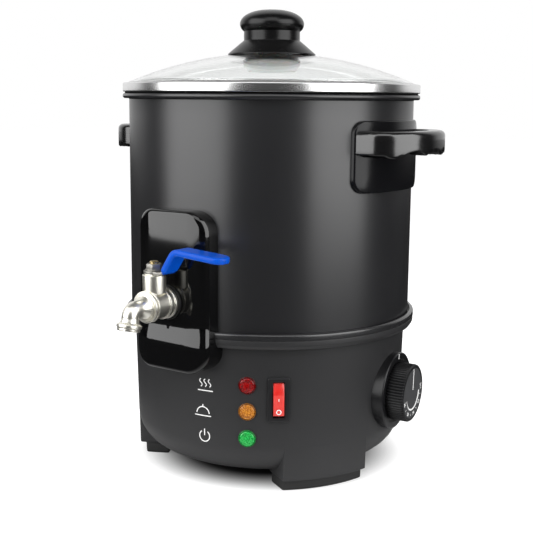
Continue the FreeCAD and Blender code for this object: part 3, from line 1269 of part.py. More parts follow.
# ------------------------------------------------------------------ inlet
def inlet_recess_shape():
    """Keyed recess of the inlet: two corners are cut off so that the connector fits one way."""
    w, h, c = INLET_RECESS_W / 2, INLET_RECESS_H / 2, INLET_RECESS_CHAMFER
    z0 = INLET_PAD + INLET_FLANGE_T - INLET_RECESS_D
    lift = lambda a, b: V(a, b, z0)
    plan = face((-w, -h), (w, -h), (w, h - c), (w - c, h), (-w + c, h), (-w, h - c), lift=lift)
    return plan.extrude(V(0, 0, INLET_RECESS_D + 1))


def inlet_socket():
    z = INLET_PAD
    flange = rounded_block(INLET_FLANGE_W, INLET_FLANGE_H, 4, z, z + INLET_FLANGE_T)
    case = block(-INLET_BODY_W / 2, INLET_BODY_W / 2, -INLET_BODY_H / 2, INLET_BODY_H / 2,
                 z - INLET_BODY_L, z)
    holes = [rod(INLET_SCREW_R + SEAT, z - 1, z + INLET_FLANGE_T + 1, x)
             for x in (-INLET_SCREW_PITCH / 2, INLET_SCREW_PITCH / 2)]
    slots = [block(x - PIN_W / 2, x + PIN_W / 2, y - PIN_H / 2, y + PIN_H / 2,
                   z - INLET_BODY_L - 1, z) for x, y in PIN_PLACES]
    body = flange.fuse(case).cut([inlet_recess_shape()] + holes + slots)
    return placed(body, on_wall(INLET_AZ, INLET_Z))


def inlet_pins():
    floor = INLET_PAD + INLET_FLANGE_T - INLET_RECESS_D
    back = INLET_PAD - INLET_BODY_L - PIN_TAIL
    pins = []
    for x, y in PIN_PLACES:
        pin = block(x - PIN_W / 2, x + PIN_W / 2, y - PIN_H / 2, y + PIN_H / 2, back, floor + PIN_L)
        pins.append(placed(pin, on_wall(INLET_AZ, INLET_Z)))
    return group(pins)


def inlet_screws():
    z = INLET_PAD + INLET_FLANGE_T
    r, head = INLET_SCREW_R, INLET_SCREW_HEAD_R
    screws = []
    for x in (-INLET_SCREW_PITCH / 2, INLET_SCREW_PITCH / 2):
        screw = turned((0, INLET_PAD - INLET_SCREW_L + 1), (r, INLET_PAD - INLET_SCREW_L + 1), (r, z),
                       (head, z), (head, z + INLET_SCREW_HEAD_T - 0.6),
                       (head - 0.8, z + INLET_SCREW_HEAD_T), (0, z + INLET_SCREW_HEAD_T))
        screw.translate(V(x, 0, 0))
        screws.append(placed(screw, on_wall(INLET_AZ, INLET_Z)))
    return group(screws)


# ------------------------------------------------------------------ nodes
NODES = {
    "base_housing": base_housing,
    "bottom_cover": bottom_cover,
    "cover_screws": cover_screws,
    "foot_pads": foot_pads,
    "collar_ring": collar_ring,
    "terminal_block": terminal_block,
    "outer_shell": shell,
    "inner_pot": inner_pot,
    "rim_gasket": rim_gasket,
    "insulation_sleeve": insulation_sleeve,
    "heater_plate": heater_plate,
    "heating_element": heating_element,
    "clamp_plate": clamp_plate,
    "clamp_nut": clamp_nut,
    "heat_shield": heat_shield,
    "thermal_cutout": thermal_cutout,
    "sensor_bulb": sensor_bulb,
    "bulb_clip": bulb_clip,
    "lid_glass": lid_glass,
    "lid_band": lid_band,
    "lid_knob_skirt": knob_skirt,
    "lid_knob_cap": knob_cap,
    "lid_seal": lid_seal,
    "lid_cup_washer": lid_cup,
    "lid_screw": lid_screw,
    "tap_cover": tap_cover,
    "tap_spacer": tap_spacer,
    "tap_gasket": tap_gasket,
    "tap_inner_gasket": inner_gasket,
    "tap_locknut": locknut,
    "tap_body": tap_body,
    "tap_gland": tap_gland,
    "tap_seat_rings": seat_rings,
    "tap_spout": tap_spout,
    "tap_ball": tap_ball,
    "tap_stem": tap_stem,
    "lever_strap": lever_strap,
    "lever_sleeve": lever_sleeve,
    "lever_nut": lever_nut,
    "handle_right": handle,
    "handle_left": lambda: spun(handle(), 180),
    "handle_screws": handle_screws,
    "red_lens": lambda: lamp_lens(LAMP_Z["red"]),
    "amber_lens": lambda: lamp_lens(LAMP_Z["amber"]),
    "green_lens": lambda: lamp_lens(LAMP_Z["green"]),
    "lamp_holders": lamp_holders,
    "switch_housing": switch_housing,
    "switch_rocker": switch_rocker,
    "dial_bezel": dial_bezel,
    "dial_knob": dial_knob,
    "dial_spindle": dial_spindle,
    "thermostat": thermostat,
    "inlet_socket": inlet_socket,
    "inlet_pins": inlet_pins,
    "inlet_screws": inlet_screws,
}

os.makedirs("parts", exist_ok=True)
for name, make in NODES.items():
    shape = make()
    shape.exportStep("parts/" + name + ".step")
    print(name, len(shape.Solids), shape.isValid(), round(shape.Volume / 1000, 2))
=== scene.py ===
import json
import math

import bmesh
import bpy
from mathutils import Matrix, Vector


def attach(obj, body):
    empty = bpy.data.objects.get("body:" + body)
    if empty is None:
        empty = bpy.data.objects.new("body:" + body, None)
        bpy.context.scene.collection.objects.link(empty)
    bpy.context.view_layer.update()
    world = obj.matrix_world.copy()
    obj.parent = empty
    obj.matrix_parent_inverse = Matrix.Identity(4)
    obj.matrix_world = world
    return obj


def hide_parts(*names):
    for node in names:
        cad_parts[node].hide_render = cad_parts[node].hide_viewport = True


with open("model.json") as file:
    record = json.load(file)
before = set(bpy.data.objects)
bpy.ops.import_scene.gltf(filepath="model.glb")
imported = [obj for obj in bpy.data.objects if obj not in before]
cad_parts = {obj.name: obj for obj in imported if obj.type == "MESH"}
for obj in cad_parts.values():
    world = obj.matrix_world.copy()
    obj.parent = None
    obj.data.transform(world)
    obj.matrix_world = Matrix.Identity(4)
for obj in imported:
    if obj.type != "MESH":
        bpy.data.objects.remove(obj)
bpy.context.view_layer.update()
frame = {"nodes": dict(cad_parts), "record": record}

MM = 0.001
ROUND = 216     # sides of the large turned pieces

# ------------ sizes, in millimetres
SHELL_R, SHELL_BOTTOM_Z, SHELL_T, SHELL_FLANGE_R = 106.2, 109.3, 1.0, 100.0
BASE_R, BASE_REF_Z, BASE_DRAFT, BASE_WALL = 102.3, 60.0, 1.4, 3.0
BOWL_Z, BOWL_FILLET, FLOOR_T = 11.0, 24.0, 4.0
COVER_OPENING_R, COVER_RECESS_R, COVER_RECESS = 56.0, 66.0, 2.0
COLLAR_R, COLLAR_FOOT_Z, COLLAR_LIP, COLLAR_TOP_Z = 110.2, 104.0, 0.9, 111.0
SHELF_R, SHELF_Z, SHELF_T = 91.0, 108.5, 4.0
RING_R, RING_LIP_R, RING_TOP_Z, RING_WEB_Z = 110.4, 107.6, 115.9, 112.5
FOOT_AZ, FOOT_HALF_W, FOOT_R, FOOT_Z, FOOT_TOP_Z = (61.0, 180.0, 298.0), 33.0, 72.0, 8.4, 50.0
FOOT_CORNER, FOOT_EDGE, FOOT_INSET = 3.0, 1.2, 0.1
PAD_INSET, PAD_SIDE, PAD_CORNER, PAD_EDGE = 4.5, 1.3, 2.4, 1.8
POT_R, POT_T, POT_FLOOR_Z, POT_CORNER, POT_RIM_R = 98.0, 0.8, 115.0, 8.0, 108.4
STUD_R, STUD_END_Z = 3.0, 92.9
BEAD_OUT_R, BEAD_LOW_Z, BEAD_TOP_Z, BEAD_ROUND, RIM_TOP_Z = 110.9, 272.0, 276.2, 1.85, 277.0
JOINT_DEPTH, JOINT_R, JOINT_IN = 0.4, 109.3, 6.0
BAND_R, BAND_Z, BAND_TOP_Z, BAND_T, BAND_LIP_R = 110.8, 277.5, 283.3, 0.8, 106.2
BAND_HEM, BAND_HEM_T, SKIRT_R, SKIRT_Z = 0.7, 1.1, 97.4, 271.5
DOME_TOP_Z, DOME_R, GLASS_R, GLASS_T = 306.0, 268.0, 109.9, 4.2
KNOB_SKIRT_R, KNOB_SKIRT_TOP_R, KNOB_NECK_R, CAP_R = 33.0, 22.0, 20.9, 23.9
KNOB_NECK_Z, KNOB_TOP_Z = 321.26, 337.46
TAP_Z, STEM_DIST, FRONT_RING_END, KNEE_DIST = 135.0, 131.7, 141.5, 154.0
TAP_HOLE_R, WATERWAY_R, THREAD_R, BARREL_R, TAP_RING_R = 8.1, 3.8, 8.0, 9.8, 10.8
FLANGE_FACE, FLANGE_END, STEM_HOLE_R, BONNET_R = 119.7, 121.9, 3.1, 7.9
COVER_W, COVER_Z0, COVER_Z1, COVER_FACE, COVER_CORNER, COVER_EDGE = 61.0, 86.7, 198.0, 118.2, 15.0, 3.6
COVER_CROWN_R, COVER_SWELL_Z, COVER_SWELL_RUN, COVER_SWELL = 388.0, 121.0, 17.0, 1.9
SPOUT_TILT, SPOUT_L, SPOUT_COLLAR_R, SPOUT_COLLAR_H = 13.0, 13.8, 8.3, 4.4
ELBOW_R, SPOUT_BORE_R = 5.75, 4.7
STRAP_Z, STRAP_T, STRAP_RISE, STRAP_L, STRAP_DROP = 156.8, 2.0, 15.9, 61.0, 2.6
STRAP_BEND_IN, STRAP_BEND_OUT, STRAP_BEND_R = 11.8, 22.4, 6.2
SLEEVE_START, SLEEVE_T, SLEEVE_ROUND = 12.6, 1.2, 1.7
WASHER_R, WASHER_T = 6.0, 0.42
PLATE_HALF_W, PLATE_Z0, PLATE_Z1, PLATE_R, PLATE_CORNER, PLATE_EDGE = 43.0, 209.2, 258.3, 109.4, 9.0, 1.3
PLATE_BACK_R, GRIP_DEPTH, GRIP_T, GRIP_Z0, GRIP_Z1 = 105.6, 28.7, 12.2, 235.4, 251.6
SCALLOP_PITCH, SCALLOP_COUNT, SCALLOP_DEPTH = 19.6, 3, 2.8
LAMP_AZ, LAMP_Z = 27.6, {"red": 78.3, "amber": 59.5, "green": 40.1}
LAMP_RIM_R, LAMP_DOME_R, LAMP_HOLE_R = 6.2, 5.2, 4.75
SWITCH_AZ, SWITCH_Z, SWITCH_W, SWITCH_H, SWITCH_RIM_T = 39.7, 68.5, 15.2, 31.3, 1.8
SWITCH_HOLE, WELL_DEPTH = (11.8, 27.2), 11.0
ROCKER_W, ROCKER_H, ROCKER_ANGLE, ROCKER_PIVOT, ROCKER_PROUD, ROCKER_CREST_Y = 7.4, 24.8, 11.0, 5.0, 2.6, 3.0
DIAL_AZ, DIAL_Z, DIAL_RIM_R, DIAL_RECESS_R, DIAL_RIM_FACE, DIAL_RECESS = 97.8, 60.9, 28.4, 23.4, 5.0, 1.8
KNOB_R, KNOB_FACE, KNOB_RIBS, KNOB_RIB_DEPTH, SPINDLE_HOLE_R, STAT_NECK_R = 21.3, 17.2, 60, 0.7, 3.6, 7.65
INLET_AZ, INLET_Z, INLET_HOLE = 180.0, 66.0, (27.2, 19.8)
INLET_PAD, INLET_PAD_T, INLET_PAD_SINK, CUT_DEPTH = (54.0, 26.4, 5.0, 0.5), 1.4, 2.5, 12.0
PRINT_PROUD, PRINT_SINK, SIGN_STROKE, SIGN_PROUD = 0.08, 0.1, 0.75, 0.12
LINE_Y, TICK_R, NUMBER_R, NUMBER_SIZE, WEDGE_R, INDEX_Y = 10.4, 16.0, 16.3, 3.3, 12.2, 25.6
PRISM_ROWS, PRISM_PITCH, PRISM_FIELD, PRISM_LIFT = 11, 0.86, 4.3, 1.95


# ------------ places
def base_r(z):
    """Outer radius of the base wall at height z."""
    return BASE_R + (z - BASE_REF_Z) * math.tan(math.radians(BASE_DRAFT))


def dome_z(r, drop=0.0):
    """Height of the lid's dome at radius r, on a sphere drop below the outside."""
    return DOME_TOP_Z - DOME_R + math.sqrt((DOME_R - drop) ** 2 - r * r)


def stand(az, z=0.0, dist=0.0, tilt=0.0):
    """Frame with x round the object, y up it and z away from its axis, in millimetres."""
    a, t = math.radians(az), math.radians(tilt)
    along = Vector((math.cos(a), math.sin(a), 0))
    out = Vector((math.cos(t) * math.sin(a), -math.cos(t) * math.cos(a), -math.sin(t)))
    place = Matrix((along, out.cross(along), out)).transposed().to_4x4()
    place.translation = (dist * math.sin(a), -dist * math.cos(a), z)
    return place


def on_wall(az, z):
    """Frame on the outside of the base wall, square to it."""
    return stand(az, z, base_r(z), BASE_DRAFT)


def turn_z(degrees):
    return Matrix.Rotation(math.radians(degrees), 4, "Z")


STEM_AXIS = Matrix.Translation((0, -STEM_DIST, 0))


# ------------ node trees
class Tree:
    """Thin wrapper that adds nodes and links them by socket names."""

    def __init__(self, tree):
        self.tree = tree

    def node(self, kind, links=(), **settings):
        n = self.tree.nodes.new(kind)
        for name, value in settings.items():
            setattr(n, name, value)
        for socket, source in dict(links).items():
            self.feed(n.inputs[socket], source)
        return n

    def get(self, kind, links=(), **settings):
        """First output of a new node."""
        return self.node(kind, links, **settings).outputs[0]

    def feed(self, target, source):
        if isinstance(source, bpy.types.NodeSocket):
            self.tree.links.new(source, target)
        else:
            target.default_value = source

    def math(self, operation, a, b=0.0):
        return self.get("ShaderNodeMath", {0: a, 1: b}, operation=operation)

    def add(self, a, b):
        return self.math("ADD", a, b)

    def sub(self, a, b):
        return self.math("SUBTRACT", a, b)

    def mul(self, a, b):
        return self.math("MULTIPLY", a, b)

    def div(self, a, b):
        return self.math("DIVIDE", a, b)

    def polar(self, radius, angle):
        """Distances along the two axes of a point at a radius and an angle."""
        return self.mul(radius, self.math("COSINE", angle)), self.mul(radius, self.math("SINE", angle))

    def measure(self, operation, *vectors):
        """Number that a vector operation gives."""
        n = self.node("ShaderNodeVectorMath", dict(enumerate(vectors)), operation=operation)
        return n.outputs["Value"]

    def mix(self, kind, factor, a, b):
        """Blend of two floats or colours by a factor."""
        n = self.node("ShaderNodeMix", data_type=kind)
        first, second = {"FLOAT": (2, 3), "RGBA": (6, 7)}[kind]
        for socket, source in ((0, factor), (first, a), (second, b)):
            self.feed(n.inputs[socket], source)
        return n.outputs[{"FLOAT": 0, "RGBA": 2}[kind]]

    def ramp(self, value, low, high):
        """Value mapped from low-high to 0-1 on a smooth curve."""
        return self.get("ShaderNodeMapRange", {"Value": value, "From Min": low, "From Max": high},
                        interpolation_type="SMOOTHSTEP")

    def xyz(self, x=0.0, y=0.0, z=0.0):
        return self.get("ShaderNodeCombineXYZ", {0: x, 1: y, 2: z})

    def split(self, vector):
        return self.node("ShaderNodeSeparateXYZ", {0: vector}).outputs

    def attribute(self, name):
        return self.get("GeometryNodeInputNamedAttribute", {"Name": name}, data_type="FLOAT")

    def sample(self, kind, source, value, index):
        """What the point of an index holds in another geometry."""
        return self.get("GeometryNodeSampleIndex", {"Geometry": source, "Value": value, "Index": index},
                        data_type=kind, domain="POINT")


def form_tree(name, source, **inputs):
    """Empty Geometry Nodes tree with its named inputs; returns its wrapper and input sockets."""
    tree = bpy.data.node_groups.new(name, "GeometryNodeTree")
    tree.interface.new_socket(source, in_out="INPUT", socket_type="NodeSocketGeometry")
    for label, kind in inputs.items():
        tree.interface.new_socket(label.replace("_", " "), in_out="INPUT", socket_type="NodeSocket" + kind)
    tree.interface.new_socket("Finish", in_out="INPUT", socket_type="NodeSocketMaterial")
    tree.interface.new_socket("Form", in_out="OUTPUT", socket_type="NodeSocketGeometry")
    t = Tree(tree)
    return t, t.node("NodeGroupInput").outputs


def end_tree(t, form, given):
    """Last nodes of every form tree: realise the copies and give them their finish."""
    whole = t.get("GeometryNodeRealizeInstances", {"Geometry": form})
    done = t.get("GeometryNodeSetMaterial", {"Geometry": whole, "Material": given["Finish"]})
    t.node("NodeGroupOutput", {"Form": done})
    return t.tree


def turned_form_tree():
    """Turns a profile of (radius, 0, height) points about Z, with optional ribs round it."""
    t, given = form_tree("turned_form", "Profile", Sides="Int", Ribs="Int", Rib_Depth="Float")
    profile = given["Profile"]
    count = t.get("GeometryNodeAttributeDomainSize", {"Geometry": profile})
    rows = t.add(given["Sides"], 1)
    grid = t.get("GeometryNodeMeshGrid", {"Vertices X": count, "Vertices Y": rows})
    index = t.get("GeometryNodeInputIndex")
    point = t.math("FLOOR", t.div(t.add(index, 0.5), rows))
    turn = t.sub(index, t.mul(point, rows))
    angle = t.div(t.mul(turn, 2 * math.pi), given["Sides"])
    at = t.split(t.sample("FLOAT_VECTOR", profile, t.get("GeometryNodeInputPosition"), point))
    share = t.sample("FLOAT", profile, t.attribute("ribbed"), point)
    half_ribs = t.mul(t.mul(angle, given["Ribs"]), 0.5)
    wave = t.math("ABSOLUTE", t.math("SINE", half_ribs))
    groove = t.mul(t.sub(1.0, wave), given["Rib Depth"])
    radius = t.sub(at["X"], t.mul(groove, share))
    spot = t.xyz(*t.polar(radius, angle), at["Z"])
    form = t.get("GeometryNodeSetPosition", {"Geometry": grid, "Position": spot})
    seamless = t.get("GeometryNodeMergeByDistance", {"Geometry": form, "Distance": 0.002 * MM})
    return end_tree(t, seamless, given)


def cast_tube_tree():
    """Tube along a path of edges, as thick as the path's own attribute says."""
    t, given = form_tree("cast_tube", "Path", Sides="Int")
    path = t.get("GeometryNodeMeshToCurve", {"Mesh": given["Path"]})
    ring = t.get("GeometryNodeCurvePrimitiveCircle", {"Resolution": given["Sides"], "Radius": 1.0})
    tube = t.get("GeometryNodeCurveToMesh", {"Curve": path, "Profile Curve": ring,
                                             "Scale": t.attribute("thick"), "Fill Caps": True})
    return end_tree(t, tube, given)


def wall_sign_tree():
    """Printed strokes wrapped on the drafted base wall: X runs round it and Y up it."""
    t, given = form_tree("wall_sign", "Strokes", Stroke="Float", Proud="Float", Azimuth="Float",
                         Height="Float")
    lines = t.get("GeometryNodeMeshToCurve", {"Mesh": given["Strokes"]})
    lines = t.get("GeometryNodeResampleCurve", {"Curve": lines, "Length": 0.5 * MM}, mode="LENGTH")
    pen = t.get("GeometryNodeCurvePrimitiveQuadrilateral", {"Width": given["Stroke"],
                                                            "Height": given["Proud"]})
    flat = t.get("GeometryNodeCurveToMesh", {"Curve": lines, "Profile Curve": pen, "Fill Caps": True})
    here = t.split(t.get("GeometryNodeInputPosition"))
    z = t.add(here["Y"], given["Height"])
    rise = t.sub(z, BASE_REF_Z * MM)
    wall = t.add(t.mul(rise, math.tan(math.radians(BASE_DRAFT))), BASE_R * MM)
    az = t.add(t.div(here["X"], wall), given["Azimuth"])
    radius = t.add(wall, here["Z"])
    forward, aside = t.polar(radius, az)
    spot = t.xyz(aside, t.mul(forward, -1.0), z)
    return end_tree(t, t.get("GeometryNodeSetPosition", {"Geometry": flat, "Position": spot}), given)


def ring_of_marks_tree():
    """Copies of one mark at equal steps along an arc about Z."""
    t, given = form_tree("ring_of_marks", "Mark", Count="Int", Start="Float", Sweep="Float")
    points = t.get("GeometryNodeMeshLine", {"Count": given["Count"], "Offset": (0, 0, 0)})
    gaps = t.math("MAXIMUM", t.sub(given["Count"], 1), 1)
    sweep = t.mul(t.get("GeometryNodeInputIndex"), given["Sweep"])
    angle = t.add(given["Start"], t.div(sweep, gaps))
    turn = t.get("FunctionNodeEulerToRotation", {0: t.xyz(z=angle)})
    copies = t.get("GeometryNodeInstanceOnPoints", {"Points": points, "Instance": given["Mark"],
                                                    "Rotation": turn})
    return end_tree(t, copies, given)


def prism_field_tree():
    """Small domes in staggered rows over a round field, as inside a lamp's lens."""
    t, given = form_tree("prism_field", "Dome", Rows="Int", Pitch="Float", Field="Float")
    rows, pitch = given["Rows"], given["Pitch"]
    side = t.mul(pitch, t.sub(rows, 1))
    grid = t.get("GeometryNodeMeshGrid", {"Size X": side, "Size Y": side, "Vertices X": rows,
                                          "Vertices Y": rows})
    place = t.add(t.get("GeometryNodeInputIndex"), 0.5)
    odd = t.math("MODULO", t.math("FLOOR", t.div(place, rows)), 2.0)
    shift = t.xyz(y=t.mul(odd, t.mul(pitch, 0.5)))
    grid = t.get("GeometryNodeSetPosition", {"Geometry": grid, "Offset": shift})
    length = t.measure("LENGTH", t.get("GeometryNodeInputPosition"))
    outside = t.math("GREATER_THAN", length, given["Field"])
    field = t.get("GeometryNodeDeleteGeometry", {"Geometry": grid, "Selection": outside}, domain="POINT")
    return end_tree(t, t.get("GeometryNodeInstanceOnPoints", {"Points": field, "Instance": given["Dome"]}),
                    given)


TREES = {"turned": turned_form_tree(), "tube": cast_tube_tree(), "sign": wall_sign_tree(),
         "marks": ring_of_marks_tree(), "prisms": prism_field_tree()}


def placed(name, data):
    """New object of the scene that holds a mesh, print, lamp or camera."""
    thing = bpy.data.objects.new(name, data)
    bpy.context.scene.collection.objects.link(thing)
    return thing


def plain_mesh(work):
    """Plain mesh of a work object as its modifiers leave it."""
    return bpy.data.meshes.new_from_object(work.evaluated_get(bpy.context.evaluated_depsgraph_get()))


def grown(tree, source, **inputs):
    """Plain mesh that a form tree makes from a source mesh and its named inputs."""
    work = placed("work", source)
    form = work.modifiers.new("form", "NODES")
    form.node_group = TREES[tree]
    for item in TREES[tree].interface.items_tree:
        label = item.name.lower().replace(" ", "_")
        if label in inputs:
            form[item.identifier] = inputs[label]
    mesh = plain_mesh(work)
    work.modifiers.remove(form)
    bpy.data.objects.remove(work)
    return mesh


# ------------ outlines
def soften(corners, closed=False, turn=12.0):
    """Polyline with rounded corners: each corner is (x, y) or (x, y, radius)."""
    line = []
    for i, corner in enumerate(corners):
        here, radius = Vector(corner[:2]), corner[2] if len(corner) > 2 else 0.0
        at_end = not closed and i in (0, len(corners) - 1)
        if not radius or at_end:
            line.append(here)
            continue
        before = Vector(corners[i - 1][:2]) - here
        after = Vector(corners[(i + 1) % len(corners)][:2]) - here
        half = before.angle(after) / 2
        reach = min(radius / math.tan(half), 0.98 * before.length, 0.98 * after.length)
        radius = reach * math.tan(half)
        a, b = before.normalized(), after.normalized()
        middle = here + (a + b).normalized() * radius / math.sin(half)
        start, end = here + a * reach - middle, here + b * reach - middle
        side = math.copysign(1, start.x * end.y - start.y * end.x)
        sweep = math.pi - 2 * half
        steps = max(3, math.ceil(math.degrees(sweep) / turn))
        for k in range(steps + 1):
            angle = side * sweep * k / steps
            line.append(middle + Vector((start.x * math.cos(angle) - start.y * math.sin(angle),
                                         start.x * math.sin(angle) + start.y * math.cos(angle))))
    return line


def fine(line, step):
    """Polyline with points added so that no run is longer than step."""
    dense = [line[0]]
    for a, b in zip(line, line[1:]):
        count = max(1, math.ceil((b - a).length / step))
        dense += [a.lerp(b, k / count) for k in range(1, count + 1)]
    return dense


def curve_through(start, control, end, steps=8):
    """Points of a quadratic curve, its start left out."""
    a, b, c = Vector(start), Vector(control), Vector(end)
    shares = [(k + 1) / steps for k in range(steps)]
    return [a * (1 - t) ** 2 + b * 2 * t * (1 - t) + c * t * t for t in shares]


def curve_row(points, steps=5):
    """Smooth line through every point of a row."""
    spots = [Vector(p) for p in points]
    spots = [spots[0] * 2 - spots[1]] + spots + [spots[-1] * 2 - spots[-2]]
    line = [spots[1]]
    for a, b, c, d in zip(spots, spots[1:], spots[2:], spots[3:]):
        for k in range(1, steps + 1):
            t = k / steps
            line.append((b * 2 + (c - a) * t + (a * 2 - b * 5 + c * 4 - d) * t * t
                         + (b * 3 - a - c * 3 + d) * t ** 3) / 2)
    return line


def round_rect(w, h, corner, arc=6, across=10, up=10):
    """Closed ring of a rounded rectangle, anticlockwise, with a fixed number of points."""
    c = max(corner, 0.02)
    x, y = w / 2 - c, h / 2 - c
    spots = []
    for cx, cy, start, count in ((x, -y, -90, up), (x, y, 0, across), (-x, y, 90, up),
                                 (-x, -y, 180, across)):
        for k in range(arc + 1):
            a = math.radians(start + 90 * k / arc)
            spot = Vector((cx + c * math.cos(a), cy + c * math.sin(a)))
            spots.append((spot, 1 if k < arc else count))
    ring = []
    for i, (here, count) in enumerate(spots):
        after = spots[(i + 1) % len(spots)][0]
        ring += [here.lerp(after, k / count) for k in range(count)]
    return ring


# ------------ meshes
def mesh_of(bm, name):
    mesh = bpy.data.meshes.new(name)
    bm.to_mesh(mesh)
    bm.free()
    return mesh


def closed_up(bm, name):
    """Mesh with its doubles merged and its faces pointing outwards."""
    bmesh.ops.remove_doubles(bm, verts=bm.verts, dist=0.003 * MM)
    bmesh.ops.dissolve_degenerate(bm, dist=0.002 * MM, edges=bm.edges)
    bmesh.ops.recalc_face_normals(bm, faces=bm.faces)
    return mesh_of(bm, name)


def skin(rings, name="skin", cap=True, loop=False):
    """Closed surface over rings of points with equal counts, in millimetres."""
    bm = bmesh.new()
    rows = [[bm.verts.new(Vector(p) * MM) for p in ring] for ring in rings]
    pairs = list(zip(rows, rows[1:])) + ([(rows[-1], rows[0])] if loop else [])
    for low, high in pairs:
        n = len(low)
        for i in range(n):
            bm.faces.new((low[i], low[(i + 1) % n], high[(i + 1) % n], high[i]))
    if cap and not loop:
        bm.faces.new(rows[0])
        bm.faces.new(rows[-1][::-1])
    return closed_up(bm, name)


def line_mesh(name, points):
    """Mesh of one open line through points given in millimetres."""
    mesh = bpy.data.meshes.new(name)
    mesh.from_pydata([[c * MM for c in p] for p in points],
                     [(i, i + 1) for i in range(len(points) - 1)], [])
    return mesh


def fill_attribute(mesh, name, values):
    """Float attribute of a mesh's points."""
    for spot, value in zip(mesh.attributes.new(name, "FLOAT", "POINT").data, values):
        spot.value = value


def turned(profile, place=None, closed=True, sides=160, step=0.0, ribs=0, rib_depth=0.0, rib_from=1e9):
    """Turned form from (radius, height, rounding) corners, set in a frame."""
    line = soften(profile, closed)
    if closed:
        line.append(line[0])
    if step:
        line = fine(line, step)
    source = line_mesh("profile", [(p[0], 0, p[1]) for p in line])
    fill_attribute(source, "ribbed", [1.0 if p[0] > rib_from else 0.0 for p in line])
    bm = bmesh.new()
    bm.from_mesh(grown("turned", source, sides=sides, ribs=ribs, rib_depth=rib_depth * MM))
    mesh = closed_up(bm, "turned")
    return move(mesh, place) if place else mesh


def move(mesh, place):
    """Sets a mesh in a frame given in millimetres."""
    into = place.copy()
    into.translation = place.translation * MM
    mesh.transform(into)
    return mesh


def joined(*meshes):
    """One mesh of several closed forms."""
    bm = bmesh.new()
    for mesh in meshes:
        bm.from_mesh(mesh)
    return mesh_of(bm, "joined")


def cut_out(mesh, cutter):
    """Mesh with a closed cutter taken away from it."""
    body, tool = placed("work", mesh), placed("work", cutter)
    cut = body.modifiers.new("cut", "BOOLEAN")
    cut.object, cut.operation, cut.solver = tool, "DIFFERENCE", "EXACT"
    done = plain_mesh(body)
    for o in (body, tool):
        bpy.data.objects.remove(o)
    return done


def slab(w, h, corner, edge, front, back, at, arc=6, across=12, up=12, rows=7, fill=(0.3, 0.55, 0.78, 0.97)):
    """Soft-edged slab: a rounded rectangle with its front and back given as depths over u."""
    rings = []

    def ring(inset, drop, depth_of):
        flat = round_rect(w - 2 * inset, h - 2 * inset, max(corner - inset, 0.1), arc, across, up)
        rings.append([at(p.x, p.y, depth_of(p.x) - drop) for p in flat])
    ring(0, 0, back)
    for share in (0.33, 0.66):
        flat = round_rect(w, h, corner, arc, across, up)
        rings.append([at(p.x, p.y, back(p.x) + (front(p.x) - edge - back(p.x)) * share) for p in flat])
    for k in range(rows + 1):
        a = math.radians(90 * k / rows)
        ring(edge * (1 - math.cos(a)), edge * (1 - math.sin(a)), front)
    for share in fill:
        ring(edge + (min(w, h) / 2 - edge) * share, 0, front)
    return skin(rings, "slab")


def print_bar(w, h, corner, edge=0.03, proud=PRINT_PROUD, lift=0.0):
    """Thin printed bar that stands a little proud of the face below it."""
    return slab(w, h, corner, edge, lambda x: proud, lambda x: -PRINT_SINK,
                lambda x, y, d: (x, y + lift, d), rows=2)


def cylinder(r, z0, z1, place):
    return turned([(0, z0), (r, z0), (r, z1), (0, z1)], place, closed=False, sides=48)


def box(w, h, z0, z1, place):
    ring = [(-w / 2, -h / 2), (w / 2, -h / 2), (w / 2, h / 2), (-w / 2, h / 2)]
    return move(skin([[(*p, z) for p in ring] for z in (z0, z1)], "box"), place)


# ------------ finishes
def blank(name):
    """New material with an empty tree and its Object coordinates."""
    mat = bpy.data.materials.new(name)
    mat.use_nodes = True
    t = Tree(mat.node_tree)
    t.tree.nodes.clear()
    return mat, t, t.node("ShaderNodeTexCoord").outputs["Object"]


def shaded(colour, amount):
    return (*[min(1.0, c * amount) for c in colour], 1.0)


def finish_of(name, colour, rough, spread=0.04, metal=0.0, grain=900.0, depth=0.01, tint=0.08,
              stretch=(1, 1, 1), bump=0.1, dust=0.0, **fixed):
    """Procedural finish: cloudy tone and gloss, a fine grain and a trace of dust on what faces up."""
    mat, t, coords = blank(name)
    place = t.get("ShaderNodeMapping", {"Vector": coords, "Scale": stretch})
    clouds = t.get("ShaderNodeTexNoise", {"Vector": coords, "Scale": 18.0, "Detail": 4.0})
    fine_grain = t.get("ShaderNodeTexNoise", {"Vector": place, "Scale": grain, "Detail": 2.0})
    tone = t.mix("RGBA", clouds, shaded(colour, 1 - tint), shaded(colour, 1 + tint))
    gloss = t.mix("FLOAT", clouds, max(0.02, rough - spread), rough + spread)
    if dust:
        up = t.split(t.node("ShaderNodeNewGeometry").outputs["Normal"])["Z"]
        settled = t.mul(t.ramp(up, 0.5, 1.0), t.mul(fine_grain, dust))
        tone = t.mix("RGBA", settled, tone, DUST)
    links = {"Base Color": tone, "Roughness": gloss, "Metallic": metal}
    if bump:
        links["Normal"] = t.get("ShaderNodeBump", {"Height": fine_grain, "Strength": bump,
                                                   "Distance": depth * MM})
    shader = t.node("ShaderNodeBsdfPrincipled", links)
    for socket, value in fixed.items():
        shader.inputs[socket.replace("_", " ")].default_value = value
    t.node("ShaderNodeOutputMaterial", {"Surface": shader.outputs[0]})
    return mat


